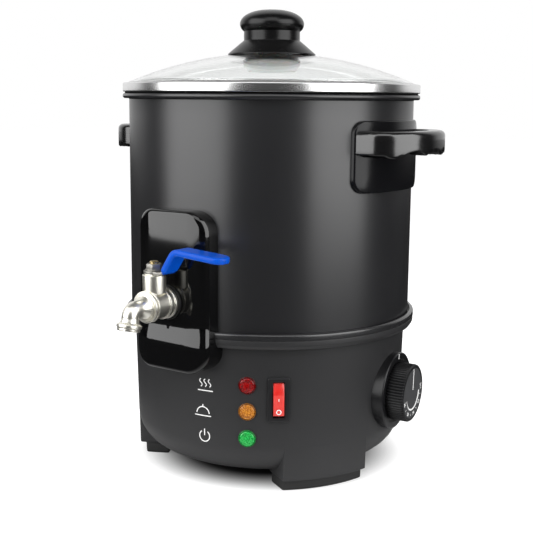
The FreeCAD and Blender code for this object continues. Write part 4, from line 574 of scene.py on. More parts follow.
def lit_and_shaded_red(name, upper, lower, split, rough):
    """Translucent red plastic, painted lighter and pinker below a height on the base wall and darker above
    it: painted light and shade on the rocker's two faces.
    """
    mat, t, coords = blank(name)
    clouds = t.get("ShaderNodeTexNoise", {"Vector": coords, "Scale": 260.0, "Detail": 3.0})
    # The split lies at the rocker's crest: the face below it gets painted light, the face above painted
    # shade.
    share = t.ramp(t.split(coords)["Z"], (split - 0.2) * MM, (split + 0.2) * MM)
    tone = t.mix("RGBA", share, (*lower, 1.0), (*upper, 1.0))
    tone = t.mix("RGBA", t.mul(clouds, 0.10), tone, (1.0, 0.45, 0.4, 1.0))
    gloss = t.mix("FLOAT", clouds, rough - 0.05, rough + 0.05)
    shader = t.get("ShaderNodeBsdfPrincipled", {"Base Color": tone, "Roughness": gloss,
                                                "Subsurface Weight": 0.15, "Subsurface Scale": 0.002,
                                                "Coat Weight": 0.25, "Coat Roughness": 0.05})
    t.node("ShaderNodeOutputMaterial", {"Surface": shader})
    return mat


def lens_of(name, bright, deep, lamp):
    """Coloured clear plastic over small prisms, each painted bright in the middle as a highlight, with its
    rim painted darker as shade.
    """
    mat, t, coords = blank(name)
    middle = on_wall(LAMP_AZ, LAMP_Z[lamp]).translation * MM
    off = t.measure("DISTANCE", coords, tuple(middle))
    cells = t.get("ShaderNodeTexVoronoi", {"Vector": coords, "Scale": 1050.0})
    # Each prism cell is painted bright in the middle and deep at its edge: a painted highlight over the real
    # prisms.
    tone = t.mix("RGBA", t.ramp(cells, 0.15, 0.85), (*bright, 1.0), (*deep, 1.0))
    # The rim is painted darker as shade, where it turns away.
    rim = t.mul(t.ramp(off, 5.1 * MM, 5.5 * MM), 0.75)
    tone = t.mix("RGBA", rim, tone, shaded(deep, 0.25))
    gloss = t.mix("FLOAT", cells, 0.08, 0.16)
    bump = t.get("ShaderNodeBump", {"Height": cells, "Strength": 0.35, "Distance": 0.12 * MM})
    shader = t.get("ShaderNodeBsdfPrincipled", {"Base Color": tone, "Roughness": gloss, "Normal": bump})
    t.node("ShaderNodeOutputMaterial", {"Surface": shader})
    return mat


BLACK, CHARCOAL = (0.011, 0.011, 0.0115), (0.018, 0.018, 0.019)
WHITE_INK, STEEL, DUST = (0.80, 0.80, 0.79), (0.62, 0.61, 0.59), (0.55, 0.54, 0.52, 1.0)
FINISHES = {
    "base_plastic": finish_of("moulded_base_grey", CHARCOAL, 0.46, grain=2400, depth=0.02, dust=0.05),
    "cover_plastic": finish_of("moulded_black", BLACK, 0.5, grain=1200),
    "pad_rubber": finish_of("foot_rubber", (0.012, 0.012, 0.012), 0.6, grain=1100, depth=0.04),
    "shell_paint": finish_of("baked_shell_enamel", (0.011, 0.011, 0.0122), 0.3, grain=2600, depth=0.004,
                             stretch=(1, 1, 0.25), Specular_IOR_Level=0.75),
    "trim_metal": finish_of("trim_ring_enamel", (0.014, 0.014, 0.015), 0.25, grain=2200, depth=0.004,
                            Specular_IOR_Level=0.8),
    "pot_steel": finish_of("drawn_pot_steel", STEEL, 0.24, metal=1.0, grain=700, stretch=(0.15, 0.15, 2.0)),
    "lid_steel": finish_of("bright_band_steel", (0.78, 0.78, 0.78), 0.24, metal=1.0, grain=700, depth=0.003,
                           stretch=(0.1, 0.1, 2.0)),
    "knob_plastic": finish_of("phenolic_knob", (0.003, 0.003, 0.0032), 0.27, spread=0.05, grain=1600,
                              depth=0.006, dust=0.01, Specular_IOR_Level=0.33),
    "seal_rubber": finish_of("silicone_seal", (0.006, 0.006, 0.006), 0.55),
    "wool": finish_of("mineral_wool", (0.72, 0.70, 0.64), 0.9, grain=500, depth=0.3),
    "heater_aluminium": finish_of("cast_aluminium", (0.70, 0.70, 0.71), 0.45, metal=1.0, grain=600),
    "plate_steel": finish_of("zinc_plate", (0.56, 0.56, 0.57), 0.35, metal=1.0, grain=600),
    "ceramic": finish_of("glazed_ceramic", (0.85, 0.84, 0.80), 0.2),
    "cover_gloss": finish_of("gloss_black_cover", (0.002, 0.002, 0.0022), 0.05, spread=0.01, grain=300,
                             depth=0.002, bump=0.03, dust=0.03, Specular_IOR_Level=0.6),
    "tap_nickel": finish_of("bright_nickel", (0.96, 0.92, 0.83), 0.34, metal=1.0, grain=800, depth=0.008),
    "nut_zinc": finish_of("dull_nut_zinc", (0.40, 0.39, 0.36), 0.42, metal=1.0, grain=2600, depth=0.05,
                          bump=0.4),
    "brass": finish_of("turned_brass", (0.74, 0.58, 0.30), 0.25, metal=1.0),
    "ptfe": finish_of("white_ptfe", (0.88, 0.88, 0.86), 0.5),
    "lever_vinyl": finish_of("dipped_blue_vinyl", (0.0, 0.070, 0.48), 0.3, spread=0.05, grain=500,
                             depth=0.02, Specular_IOR_Level=0.18),
    "handle_plastic": finish_of("moulded_handle_black", (0.004, 0.004, 0.0042), 0.18, grain=1500,
                                depth=0.008, dust=0.03, Specular_IOR_Level=0.95),
    "screw_steel": finish_of("screw_zinc", (0.60, 0.60, 0.60), 0.3, metal=1.0),
    "lens_red": lens_of("red_lens", (0.32, 0.003, 0.003), (0.09, 0.0, 0.001), "red"),
    "lens_amber": lens_of("amber_lens", (0.64, 0.26, 0.035), (0.26, 0.075, 0.004), "amber"),
    "lens_green": lens_of("green_lens", (0.03, 0.52, 0.10), (0.0, 0.22, 0.03), "green"),
    "lamp_plastic": finish_of("lamp_nylon", (0.012, 0.012, 0.012), 0.45),
    "switch_plastic": finish_of("switch_nylon", (0.012, 0.012, 0.013), 0.34, grain=1500),
    # The rocker's two reds are painted light and shade on its two faces.
    "rocker_plastic": lit_and_shaded_red("rocker_red", (0.55, 0.004, 0.001), (0.62, 0.034, 0.028), 72.6, 0.2),
    "dial_plastic": finish_of("dial_black", (0.005, 0.005, 0.0056), 0.4, grain=1500, depth=0.012,
                              Specular_IOR_Level=0.3),
    "bezel_plastic": finish_of("bezel_black", (0.005, 0.005, 0.0058), 0.3, grain=1500, depth=0.008,
                               Specular_IOR_Level=0.4),
    "inlet_plastic": finish_of("inlet_nylon", (0.015, 0.015, 0.015), 0.45, grain=1500),
    "pin_metal": finish_of("pin_nickel", (0.78, 0.72, 0.60), 0.25, metal=1.0),
    "lid_glass": finish_of("lid_glass", (0.985, 0.995, 0.99), 0.02, spread=0.0, bump=0.0, tint=0.004,
                           Transmission_Weight=1.0, IOR=1.22),
    # The washer's emission is a painted glow that brightens it under the lid glass.
    "washer_plastic": finish_of("milky_washer", (0.86, 0.89, 0.88), 0.35, grain=300, tint=0.04,
                                Subsurface_Weight=0.4, Emission_Color=(0.55, 0.58, 0.57, 1.0),
                                Emission_Strength=0.35),
}
WHITE = finish_of("white_print", WHITE_INK, 0.5, grain=1800, depth=0.01)
PLATE_BLACK = finish_of("moulded_plate_black", (0.005, 0.005, 0.0058), 0.16, spread=0.03, grain=1500,
                        depth=0.006, dust=0.02, Specular_IOR_Level=0.24)
DIAL_FACE = finish_of("dial_face_grey", (0.042, 0.043, 0.045), 0.5, grain=1700, depth=0.012)
# Near-black with almost no sheen: the gasket's own black rubber, made darker still as painted shade of the
# gap under the lid band.
GASKET_BLACK_AND_GAP_SHADE = finish_of("black_gasket", (0.001, 0.001, 0.001), 0.7, Specular_IOR_Level=0.08)
ZINC, MILKY_PAINTED_GLOW = FINISHES["nut_zinc"], FINISHES["washer_plastic"]
SLOT_OF = {s["node"]: s["material_slot"] for s in frame["record"]["subparts"]}
BODY_OF = {n: b for b, nodes in frame["record"]["behaviour"]["bodies"].items() for n in nodes}
NODES = frame["nodes"]


# ------------ pieces
made = set()


def piece_of(name, mesh, nodes=(), body=None, slot=None, angle=32.0, material=None):
    """Adds a finished mesh to the object, riding on its body and standing for its nodes."""
    piece = placed(name, mesh)
    mesh.name = name
    slot = slot or SLOT_OF[nodes[0]]
    mesh.materials.clear()
    mesh.materials.append(material or FINISHES[slot])
    mesh.shade_smooth()
    mesh.set_sharp_from_angle(angle=math.radians(angle))
    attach(piece, body or BODY_OF[nodes[0]])
    if nodes:
        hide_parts(*nodes)
    made.update(nodes)


def refined(node, edge=0.0):
    """Mesh of a node with its facets joined and its sharp edges rounded."""
    bm = bmesh.new()
    bm.from_mesh(NODES[node].data)
    bmesh.ops.remove_doubles(bm, verts=bm.verts, dist=0.004 * MM)
    bmesh.ops.dissolve_limit(bm, angle_limit=math.radians(0.4), verts=bm.verts, edges=bm.edges)
    mesh = mesh_of(bm, node + "_form")
    if edge:
        work = placed("work", mesh)
        bevel = work.modifiers.new("edges", "BEVEL")
        bevel.width, bevel.segments, bevel.limit_method = edge * MM, 2, "ANGLE"
        bevel.angle_limit, bevel.use_clamp_overlap = math.radians(32), True
        mesh = plain_mesh(work)
        bpy.data.objects.remove(work)
    return mesh


# ------------ base
def foot(width, r_in, inset, z0, z1, corner, edge):
    """Block whose outer face follows the base wall's cone and whose lower edges are soft."""
    def ring(z, less):
        r_out = base_r(z) - inset
        flat = round_rect(width - 2 * less, 2.0, corner / 8, across=14, up=4)
        deep = [(p.y + 1) / 2 for p in flat]
        return [(p.x, -(r_in + less + (math.sqrt(r_out ** 2 - p.x ** 2) - 2 * less - r_in) * d), z)
                for p, d in zip(flat, deep)]
    rings = [ring(z0 + edge * (1 - math.sin(a)), edge * (1 - math.cos(a)))
             for a in (math.radians(v) for v in (90, 70, 50, 30, 15, 0))]
    rings += [ring(z0 + (z1 - z0) * share, 0) for share in (0.2, 0.5, 0.8, 1.0)]
    return skin(rings, "foot")


def build_base():
    floor_top = BOWL_Z + FLOOR_T
    under = SHELF_Z - SHELF_T
    foot_r, brim = base_r(COLLAR_FOOT_Z), COLLAR_TOP_Z - 0.02
    body = turned([(COVER_RECESS_R, BOWL_Z, 0.5), (base_r(BOWL_Z), BOWL_Z, BOWL_FILLET),
                   (foot_r + 0.08, COLLAR_FOOT_Z, 0.25), (foot_r + COLLAR_LIP, COLLAR_FOOT_Z + 0.05, 0.35),
                   (108.5, 104.95, 1.6), (COLLAR_R, 107.6, 2.0), (COLLAR_R, brim, 0.3),
                   (SHELL_R + 0.15, brim), (SHELL_R + 0.15, SHELF_Z), (SHELF_R, SHELF_Z),
                   (SHELF_R, under), (base_r(under) - BASE_WALL, under),
                   (base_r(floor_top) - BASE_WALL, floor_top, BOWL_FILLET - BASE_WALL),
                   (COVER_OPENING_R, floor_top), (COVER_OPENING_R, BOWL_Z + COVER_RECESS),
                   (COVER_RECESS_R, BOWL_Z + COVER_RECESS)], sides=ROUND)
    rear = on_wall(INLET_AZ, INLET_Z)
    socket = box(*INLET_HOLE, -CUT_DEPTH - 2, CUT_DEPTH, rear)
    cuts = [cylinder(LAMP_HOLE_R, -CUT_DEPTH, CUT_DEPTH, on_wall(LAMP_AZ, z)) for z in LAMP_Z.values()]
    cuts += [box(*SWITCH_HOLE, -CUT_DEPTH, CUT_DEPTH, on_wall(SWITCH_AZ, SWITCH_Z)),
             cylinder(STAT_NECK_R, -CUT_DEPTH, CUT_DEPTH, on_wall(DIAL_AZ, DIAL_Z)), socket]
    body = cut_out(body, joined(*cuts))
    feet = [move(foot(2 * FOOT_HALF_W, FOOT_R, FOOT_INSET, FOOT_Z, FOOT_TOP_Z, FOOT_CORNER, FOOT_EDGE),
                 turn_z(az)) for az in FOOT_AZ]
    pad = slab(*INLET_PAD, lambda x: INLET_PAD_T, lambda x: -INLET_PAD_SINK, lambda x, y, d: (x, y, d))
    pad = cut_out(move(pad, rear), socket)
    piece_of("base_form", joined(body, *feet, pad), ("base_housing",))

    pads = [move(foot(2 * (FOOT_HALF_W - PAD_SIDE), FOOT_R + PAD_SIDE, PAD_INSET, 0.0, FOOT_Z, PAD_CORNER,
                      PAD_EDGE), turn_z(az)) for az in FOOT_AZ]
    piece_of("foot_pad_forms", joined(*pads), ("foot_pads",))


# ------------ body
def build_body():
    r_in = SHELL_R + 0.1
    piece_of("trim_ring", turned([(r_in, COLLAR_TOP_Z), (RING_R, COLLAR_TOP_Z, 0.45),
                                  (RING_R, RING_TOP_Z, 1.8), (RING_LIP_R, RING_TOP_Z, 0.4),
                                  (RING_LIP_R, RING_WEB_Z), (r_in, RING_WEB_Z)], sides=ROUND),
             ("collar_ring",))
    bead_top, shell_in = BEAD_TOP_Z - JOINT_DEPTH, SHELL_R - SHELL_T
    shell = turned([(SHELL_FLANGE_R, SHELL_BOTTOM_Z), (SHELL_R, SHELL_BOTTOM_Z), (SHELL_R, BEAD_LOW_Z, 0.6),
                    (BEAD_OUT_R, BEAD_LOW_Z, BEAD_ROUND), (BEAD_OUT_R, bead_top, BEAD_ROUND),
                    (shell_in, bead_top), (shell_in, SHELL_BOTTOM_Z + SHELL_T),
                    (SHELL_FLANGE_R, SHELL_BOTTOM_Z + SHELL_T)], sides=ROUND, step=12.0)
    piece_of("shell_form", cut_out(shell, cylinder(TAP_HOLE_R, 90, 120, stand(0, TAP_Z))), ("outer_shell",))
    under, out = POT_FLOOR_Z - POT_T, POT_R + POT_T
    pot = turned([(0, under), (out, under, POT_CORNER + POT_T), (out, BEAD_TOP_Z, 0.3),
                  (POT_RIM_R, BEAD_TOP_Z, 0.35), (POT_RIM_R, RIM_TOP_Z, 0.35), (POT_R, RIM_TOP_Z, 1.6),
                  (POT_R, POT_FLOOR_Z, POT_CORNER), (0, POT_FLOOR_Z)], closed=False, sides=ROUND, step=14.0)
    pot = cut_out(pot, cylinder(TAP_HOLE_R, 85, 104, stand(0, TAP_Z)))
    stud = cylinder(STUD_R, STUD_END_Z, under + 0.3, Matrix())
    piece_of("pot_form", joined(pot, stud), ("inner_pot",), angle=40)


# ------------ lid
def build_lid():
    under, t = BAND_Z + BAND_T, BAND_T
    outer = [Vector((r, dome_z(r))) for r in range(0, 101, 5)]
    edge = soften([(100, dome_z(100)), (106.4, 283.9, 3), (GLASS_R, 282.9, 0.6), (GLASS_R, under, 0.35),
                   (106.0, under, 2), (98, dome_z(98, GLASS_T))], turn=6.0)
    inner = [Vector((r, dome_z(r, GLASS_T))) for r in range(95, -1, -5)]
    glass = turned([(p.x, p.y) for p in outer[:-1] + edge + inner], closed=False, sides=ROUND)
    piece_of("glass_form", glass, ("lid_glass",), angle=60)

    hem_r, hem_z = BAND_R - BAND_HEM_T, BAND_Z - BAND_HEM
    band = turned([(SKIRT_R, SKIRT_Z, 0.3), (SKIRT_R + t, SKIRT_Z, 0.3), (SKIRT_R + t, BAND_Z, 0.4),
                   (hem_r, BAND_Z, 0.1), (hem_r, hem_z, 0.2), (BAND_R, hem_z, 0.7),
                   (BAND_R, BAND_TOP_Z, 1.0), (BAND_LIP_R, BAND_TOP_Z, 0.3), (BAND_LIP_R, BAND_TOP_Z - t),
                   (BAND_R - t, BAND_TOP_Z - t, 0.4), (BAND_R - t, under, 0.6), (SKIRT_R, under, 1.0)],
                  sides=ROUND)
    piece_of("band_form", band, ("lid_band",))
    joint_z, rim_r, pad_z = BEAD_TOP_Z - JOINT_DEPTH + 0.05, POT_RIM_R + 0.1, RIM_TOP_Z + 0.45
    gasket = turned([(POT_RIM_R - JOINT_IN, RIM_TOP_Z), (rim_r, RIM_TOP_Z), (rim_r, joint_z),
                     (JOINT_R, joint_z, 0.3), (JOINT_R, pad_z, 0.3), (POT_RIM_R - JOINT_IN, pad_z)],
                    sides=ROUND)
    # The gasket's near-black is partly painted shade of the gap under the band.
    piece_of("gasket_form", gasket, ("rim_gasket",), material=GASKET_BLACK_AND_GAP_SHADE)
    skirt = turned([(0, dome_z(0) + 0.1), (20, dome_z(20) + 0.1),
                    (KNOB_SKIRT_R - 0.6, dome_z(KNOB_SKIRT_R) + 0.1, 0.5), (KNOB_SKIRT_R, 304.9, 0.9),
                    (KNOB_SKIRT_TOP_R + 1.2, 313.1, 4.0), (21.6, 314.4, 1.2), (KNOB_NECK_R, 314.9, 0.4),
                    (KNOB_NECK_R, 322.0), (0, 322.0)], closed=False)
    piece_of("knob_skirt_form", skirt, ("lid_knob_skirt",))
    bulge = ((0, 0), (7, 0.25), (12, 1.0), (16, 2.2), (19.6, 4.0), (22.0, 6.0), (23.4, 8.2), (CAP_R, 10.3),
             (23.6, 12.2), (22.7, 14.1), (21.4, 15.4), (KNOB_NECK_R - 0.5, 16.1))
    crown = fine(curve_row([(r, KNOB_TOP_Z - drop) for r, drop in bulge]), 0.8)[::-1]
    cap = turned([(0, KNOB_NECK_Z - 2.0), (KNOB_NECK_R - 1.5, KNOB_NECK_Z - 2.0)]
                 + [(p.x, p.y) for p in crown], closed=False)
    piece_of("knob_cap_form", cap, ("lid_knob_cap",))


# ------------ tap
def build_cover():
    """Gloss cover behind the tap: crowned, with edges that fall away and a swollen foot."""
    mid = (COVER_Z0 + COVER_Z1) / 2

    def crown(x):
        side = max(0.0, abs(x) - 16.5)
        return COVER_FACE - (COVER_CROWN_R - math.sqrt(COVER_CROWN_R ** 2 - x * x)) - side * side / 62

    def wrapped(x, y, d):
        share = min(1.0, max(0.0, (COVER_SWELL_Z - mid - y) / COVER_SWELL_RUN))
        swell = share * share * (3 - 2 * share)
        return x * (1 + 0.045 * swell), -(d + COVER_SWELL * swell * (d > 104)), mid + y

    cover = slab(COVER_W, COVER_Z1 - COVER_Z0, COVER_CORNER, COVER_EDGE, crown,
                 lambda x: math.sqrt(102.4 ** 2 - x * x), wrapped, arc=12, across=16, up=48, rows=12,
                 fill=[k / 14 for k in range(1, 14)] + [0.97])
    piece_of("tap_cover_form", cut_out(cover, cylinder(TAP_HOLE_R, 90, 124, stand(0, TAP_Z))),
             ("tap_cover",), angle=40)


def build_tap():
    axis = stand(0, TAP_Z)
    end, face, ring_r, bore = FRONT_RING_END, FLANGE_FACE, TAP_RING_R, WATERWAY_R
    barrel = turned([(bore, 87.5), (THREAD_R, 87.5, 0.6), (THREAD_R, face), (ring_r, face, 0.4),
                     (ring_r, FLANGE_END, 0.6), (10.1, 122.1, 0.2), (10.1, 124.9, 0.2), (10.6, 125.1, 0.3),
                     (10.6, 126.3, 0.5), (BARREL_R, 126.5, 0.3), (BARREL_R, end - 5.1, 0.3),
                     (ring_r, end - 5.1, 0.5), (ring_r, end - 2.9, 0.5), (9.9, end - 2.6, 0.2),
                     (9.9, end - 2.3, 0.2), (ring_r, end - 2.0, 0.5), (ring_r, end, 0.8), (7.7, end),
                     (7.7, 126.7), (bore, 126.7)], axis, sides=96)
    stem = STEM_AXIS @ Matrix.Translation((0, 0, TAP_Z))
    barrel = cut_out(barrel, cylinder(STEM_HOLE_R, 0, 30, stem))
    bonnet = turned([(STEM_HOLE_R, 8.6), (BONNET_R, 8.6), (BONNET_R, 21.0, 0.5), (5.3, 21.0), (5.3, 17.0),
                     (STEM_HOLE_R, 17.0)], stem, sides=80)
    piece_of("tap_body_form", joined(barrel, bonnet), ("tap_body",))
    gasket = turned([(TAP_HOLE_R, 118.0), (12.0, 118.0), (12.0, face - 0.05, 0.5),
                     (TAP_HOLE_R, face - 0.05)], axis, sides=80)
    piece_of("tap_gasket_form", gasket, ("tap_gasket",))

    a = math.radians(SPOUT_TILT)
    across, out = Vector((1, 0, 0)), Vector((0, -math.sin(a), -math.cos(a)))
    knee = Vector((0, -KNEE_DIST, TAP_Z))
    tail = turned([(4.6, end - 3), (7.0, end - 3), (7.0, end - 0.02), (8.9, end + 0.02, 0.5),
                   (8.9, end + 1.0, 0.5), (4.6, end + 1.6)], axis, sides=80)
    bend = []       # points of the elbow's middle line with its radius there
    for i in range(9):
        bend.append((Vector((0, -(end + 0.4 + 0.95 * i), TAP_Z)),
                     8.4 - 2.7 * math.sin(math.pi / 2 * i / 8) ** 0.8))
    corner = Vector((0, -(KNEE_DIST + 1.2), TAP_Z))
    bend += [(p, ELBOW_R) for p in curve_through(bend[-1][0], corner, knee + out * 5.2, 16)]
    bend += [(knee + out * d, ELBOW_R + 0.17 * (d - 5.2)) for d in (6.4, 7.6, 8.8, 9.6)]
    path = line_mesh("path", [p for p, _ in bend])
    fill_attribute(path, "thick", [r * MM for _, r in bend])
    elbow = grown("tube", path, sides=64)
    place = Matrix((across, out.cross(across), out)).transposed().to_4x4()
    place.translation = knee
    c, low, bore = SPOUT_COLLAR_R, SPOUT_L - SPOUT_COLLAR_H, SPOUT_BORE_R
    spout = turned([(4.0, 8.0), (6.0, 8.0), (6.7, low - 0.8, 1.0), (c, low + 0.1, 0.5), (c, low + 1.9, 0.5),
                    (c - 0.7, low + 2.5, 0.2), (c - 0.7, SPOUT_L, 0.6), (bore, SPOUT_L, 0.3),
                    (bore, 8.6), (4.0, 8.6)], place, sides=80)
    dark = turned([(0, 9.7), (4.75, 9.7), (4.75, 10.1), (0, 10.1)], place, closed=False, sides=48)
    piece_of("tap_spout_form", joined(tail, elbow, spout, dark), ("tap_spout",), angle=38)


# ------------ lever
def offset_path(side):
    """Side path of the lever as fine points: distance from the stem and height."""
    level, top, reach = STRAP_Z + STRAP_T / 2, STRAP_Z + STRAP_T / 2 + STRAP_RISE, STRAP_L + 3
    drop = STRAP_DROP * (reach - STRAP_BEND_OUT) / (STRAP_L - STRAP_BEND_OUT)
    return fine(soften([(side, level), (STRAP_BEND_IN, level, STRAP_BEND_R),
                        (STRAP_BEND_OUT, top, STRAP_BEND_R), (reach, top - drop)], turn=4.0), 1.0)


def bar_along(start, end, w0, w1, thick, corner, cap_r, tip=0.0):
    """Bar with rounded edges along the lever's path, widening to a round end."""
    rings = []
    spots = [p for p in offset_path(start) if start - 1e-6 <= p.x <= end - 1e-6]
    last = spots[-1]
    spots += [Vector((end - (end - last.x) * f, last.y)) for f in (0.5, 0.25, 0.08, 0.0)]
    for i, p in enumerate(spots):
        before, after = spots[max(0, i - 1)], spots[min(len(spots) - 1, i + 1)]
        along = (after - before).normalized()
        normal = Vector((-along.y, along.x))
        width, height = w0 + (w1 - w0) * max(0.0, (p.x - start) / (end - start)), thick
        into = (p.x - (end - cap_r)) / cap_r
        if into > 0:
            width *= math.sqrt(max(0.0, 1 - min(1.0, into) ** 2)) or 0.02
        soft = min(1.0, (end - p.x) / corner, (p.x - start) / max(tip, 1e-3) if tip else 1.0)
        if soft < 1.0:
            less = 2 * corner * 0.9 * (1 - math.sqrt(max(0.0, 1 - (1 - soft) ** 2)))
            height -= less
            if p.x < start + tip:
                width -= less
        flat = round_rect(max(width, 0.3), height, min(corner, width / 2.1), arc=5, across=6, up=1)
        rings.append([(p.x + normal.x * q.y, q.x - STEM_DIST, p.y + normal.y * q.y) for q in flat])
    return skin(rings, "bar")


def build_lever():
    top = STRAP_Z + STRAP_T
    eye = turned([(3.05, STRAP_Z), (7.0, STRAP_Z, 0.3), (7.0, top, 0.3), (3.05, top)], STEM_AXIS, sides=72)
    strap = bar_along(4.2, STRAP_L, 12.0, 13.6, STRAP_T, 0.3, 6.8)
    piece_of("lever_strap_form", joined(eye, strap), ("lever_strap",), material=ZINC)
    sleeve = bar_along(SLEEVE_START, STRAP_L + SLEEVE_T, 14.4, 16.0, STRAP_T + 2 * SLEEVE_T, SLEEVE_ROUND,
                       8.0, tip=1.2)
    piece_of("lever_sleeve_form", sleeve, ("lever_sleeve",), angle=50)
    for node, edge, finish in (("lever_nut", 0.35, ZINC), ("tap_gland", 0.2, None), ("tap_stem", 0.0, None)):
        piece_of(node + "_form", refined(node, edge), (node,), material=finish)
    washers = [turned([(STEM_HOLE_R, z), (WASHER_R, z, 0.15), (WASHER_R, z + WASHER_T, 0.15),
                       (STEM_HOLE_R, z + WASHER_T)], STEM_AXIS, sides=64)
               for z in (top, top + WASHER_T + 0.03)]
    piece_of("lever_washers", joined(*washers), body=BODY_OF["lever_nut"], slot="tap_nickel", material=ZINC)


# ------------ handles
def scallop(y):
    """Rise of the grip's underside over the finger scallops."""
    reach = SCALLOP_PITCH * SCALLOP_COUNT / 2
    if abs(y) > reach:
        tooth = (abs(y) - reach - 5.4) / 3.4
        return -1.7 * max(0.0, 1 - tooth * tooth)
    u = ((y + reach) / SCALLOP_PITCH) % 1.0 - 0.5
    depth = SCALLOP_DEPTH * max(0.0, 1 - (2 * u) ** 2)
    near = 0.5 - abs(u)
    return max(0.0, depth - 0.5 * math.exp(-(near * SCALLOP_PITCH / 1.5) ** 2))


def grip_section(outer, inner):
    """Cross-section of the grip between two plan points, its long sides split in four."""
    t, h = (outer - inner).length, GRIP_Z1 - GRIP_Z0
    out = (outer - inner) / t
    shape = soften([(0, 0, 0.5), (t, 0, 1.4), (t, h, 3.8), (0, h, 1.6)], closed=True, turn=15.0)
    ring = []
    for i, p in enumerate(shape):
        run = shape[(i + 1) % len(shape)] - p
        parts = 4 if run.length > 4.0 else 1
        for k in range(parts):
            q = p + run * (k / parts)
            spot = inner + out * q.x
            lift = scallop(spot.y) * max(0.0, 1 - q.y / 6.0)
            ring.append((spot.x, spot.y, GRIP_Z0 + q.y + lift))
    return ring


def grip_rings():
    """Cross-sections of the loop grip from one plate end round to the other."""
    rings = []
    a_out, b_out, a_in, b_in = GRIP_DEPTH, PLATE_HALF_W - 0.3, GRIP_DEPTH - GRIP_T, PLATE_HALF_W - GRIP_T
    ends = [(PLATE_R - back, -90.0) for back in (8.3, 6.0, 4.0, 2.0)]
    spots = ends + [(PLATE_R, -90.0 + 180.0 * i / 140) for i in range(141)]
    spots += [(x, 90.0) for x, _ in ends[::-1]]
    for x, angle in spots:
        c, s = math.cos(math.radians(angle)), math.sin(math.radians(angle))
        rings.append(grip_section(Vector((x + a_out * c, b_out * s)), Vector((x + a_in * c, b_in * s))))
    return rings


def build_handles():
    mid = (PLATE_Z0 + PLATE_Z1) / 2
    for side, node in ((0.0, "handle_right"), (180.0, "handle_left")):
        plate = slab(2 * PLATE_HALF_W, PLATE_Z1 - PLATE_Z0, PLATE_CORNER, PLATE_EDGE,
                     lambda x: math.sqrt(PLATE_R ** 2 - x * x),
                     lambda x: math.sqrt(PLATE_BACK_R ** 2 - x * x),
                     lambda x, y, d: (d, x, mid + y), arc=8, across=28, up=10, rows=5)
        grip = skin(grip_rings(), "grip")
        piece_of(node + "_plate", move(plate, turn_z(side)), (node,), angle=36, material=PLATE_BLACK)
        piece_of(node + "_grip", move(grip, turn_z(side)), (node,), angle=36)


# ------------ controls
def build_lamps():
    rim, dome_r = LAMP_RIM_R, LAMP_DOME_R
    for colour, z in LAMP_Z.items():
        place = on_wall(LAMP_AZ, z)
        lens = turned([(0, -3), (4.6, -3), (4.6, -0.4), (rim, -0.4), (rim, 0.95, 0.4),
                       (dome_r + 0.3, 0.95, 0.2), (dome_r + 0.1, 0.7, 0.1), (dome_r - 0.1, 1.5, 0.9),
                       (0, 2.5)], place, closed=False, sides=72)
        dome = turned([(0, -0.25), (0.34, -0.25), (0.30, 0.12, 0.1), (0.14, 0.26, 0.1), (0, 0.28)],
                      closed=False, sides=8)
        field = grown("prisms", dome, rows=PRISM_ROWS, pitch=PRISM_PITCH * MM, field=PRISM_FIELD * MM)
        move(field, place @ Matrix.Translation((0, 0, PRISM_LIFT)))
        piece_of("lamp_form_" + colour, joined(lens, field), (colour + "_lens",))
        seat = turned([(rim - 0.3, -0.3), (rim + 0.45, -0.3), (rim + 0.45, 0.3, 0.15), (rim - 0.3, 0.3)],
                      place, sides=72)
        piece_of("lamp_seat_" + colour, seat, body="melter_body", slot="lamp_plastic")


def build_switch():
    place = on_wall(SWITCH_AZ, SWITCH_Z)
    rim = SWITCH_RIM_T
    rings = []

    def ring(w, h, corner, depth):
        rings.append([(p.x, p.y, depth) for p in round_rect(w, h, corner, across=6, up=10)])
    ring(SWITCH_W, SWITCH_H, 1.2, -1.6)
    for a in (0, 30, 60, 90):
        s = math.radians(a)
        less = 0.5 * (1 - math.cos(s))
        ring(SWITCH_W - 2 * less, SWITCH_H - 2 * less, 1.2 - less, rim - 0.5 * (1 - math.sin(s)))
    for gap, corner, depth in ((1.6, 0.9, rim), (0.5, 0.5, rim - 0.15), (0.0, 0.3, rim - 0.6),
                               (0.0, 0.3, -WELL_DEPTH), (1.8, 0.3, -WELL_DEPTH), (1.8, 0.3, -1.6)):
        ring(ROCKER_W + 0.6 + gap, ROCKER_H + 0.6 + gap, corner, depth)
    piece_of("switch_form", move(skin(rings, "switch", cap=False, loop=True), place), ("switch_housing",))
    piece_of("rocker_form", refined("switch_rocker", 0.25), ("switch_rocker",))
    tip = place @ Matrix.Translation((0, 0, rim - ROCKER_PIVOT)) @ Matrix.Rotation(
        math.radians(-ROCKER_ANGLE), 4, "X")

    def on_face(y):
        """Frame on the rocker's face at a place along it, leaning with the face."""
        slope = math.tan(math.radians(ROCKER_ANGLE))
        high = ROCKER_PIVOT + ROCKER_PROUD - abs(y - ROCKER_CREST_Y) * slope
        lean = -math.atan(math.copysign(slope, y - ROCKER_CREST_Y))
        return tip @ Matrix.Translation((0, y, high)) @ Matrix.Rotation(lean, 4, "X")
    stroke = move(print_bar(0.55, 2.0, 0.2, edge=0.05, proud=0.06), on_face(-0.6))
    loop = turned([(1.25, -0.1), (1.85, -0.1), (1.85, 0.06), (1.25, 0.06)], on_face(-9.0), sides=40)
    piece_of("rocker_marks", joined(stroke, loop), body=BODY_OF["switch_rocker"], slot="rocker_plastic",
             material=WHITE)


def text_form(words, place):
    """Raised print of a short text, centred in a frame."""
    font = bpy.data.curves.new("print", "FONT")
    font.body, font.size, font.extrude = words, NUMBER_SIZE * MM, 0.03 * MM
    font.align_x, font.align_y, font.resolution_u, font.offset = "CENTER", "CENTER", 3, 0.07 * MM
    work = placed("work", font)
    bm = bmesh.new()
    bm.from_mesh(plain_mesh(work))
    bpy.data.objects.remove(work)
    return move(closed_up(bm, "print"), place)


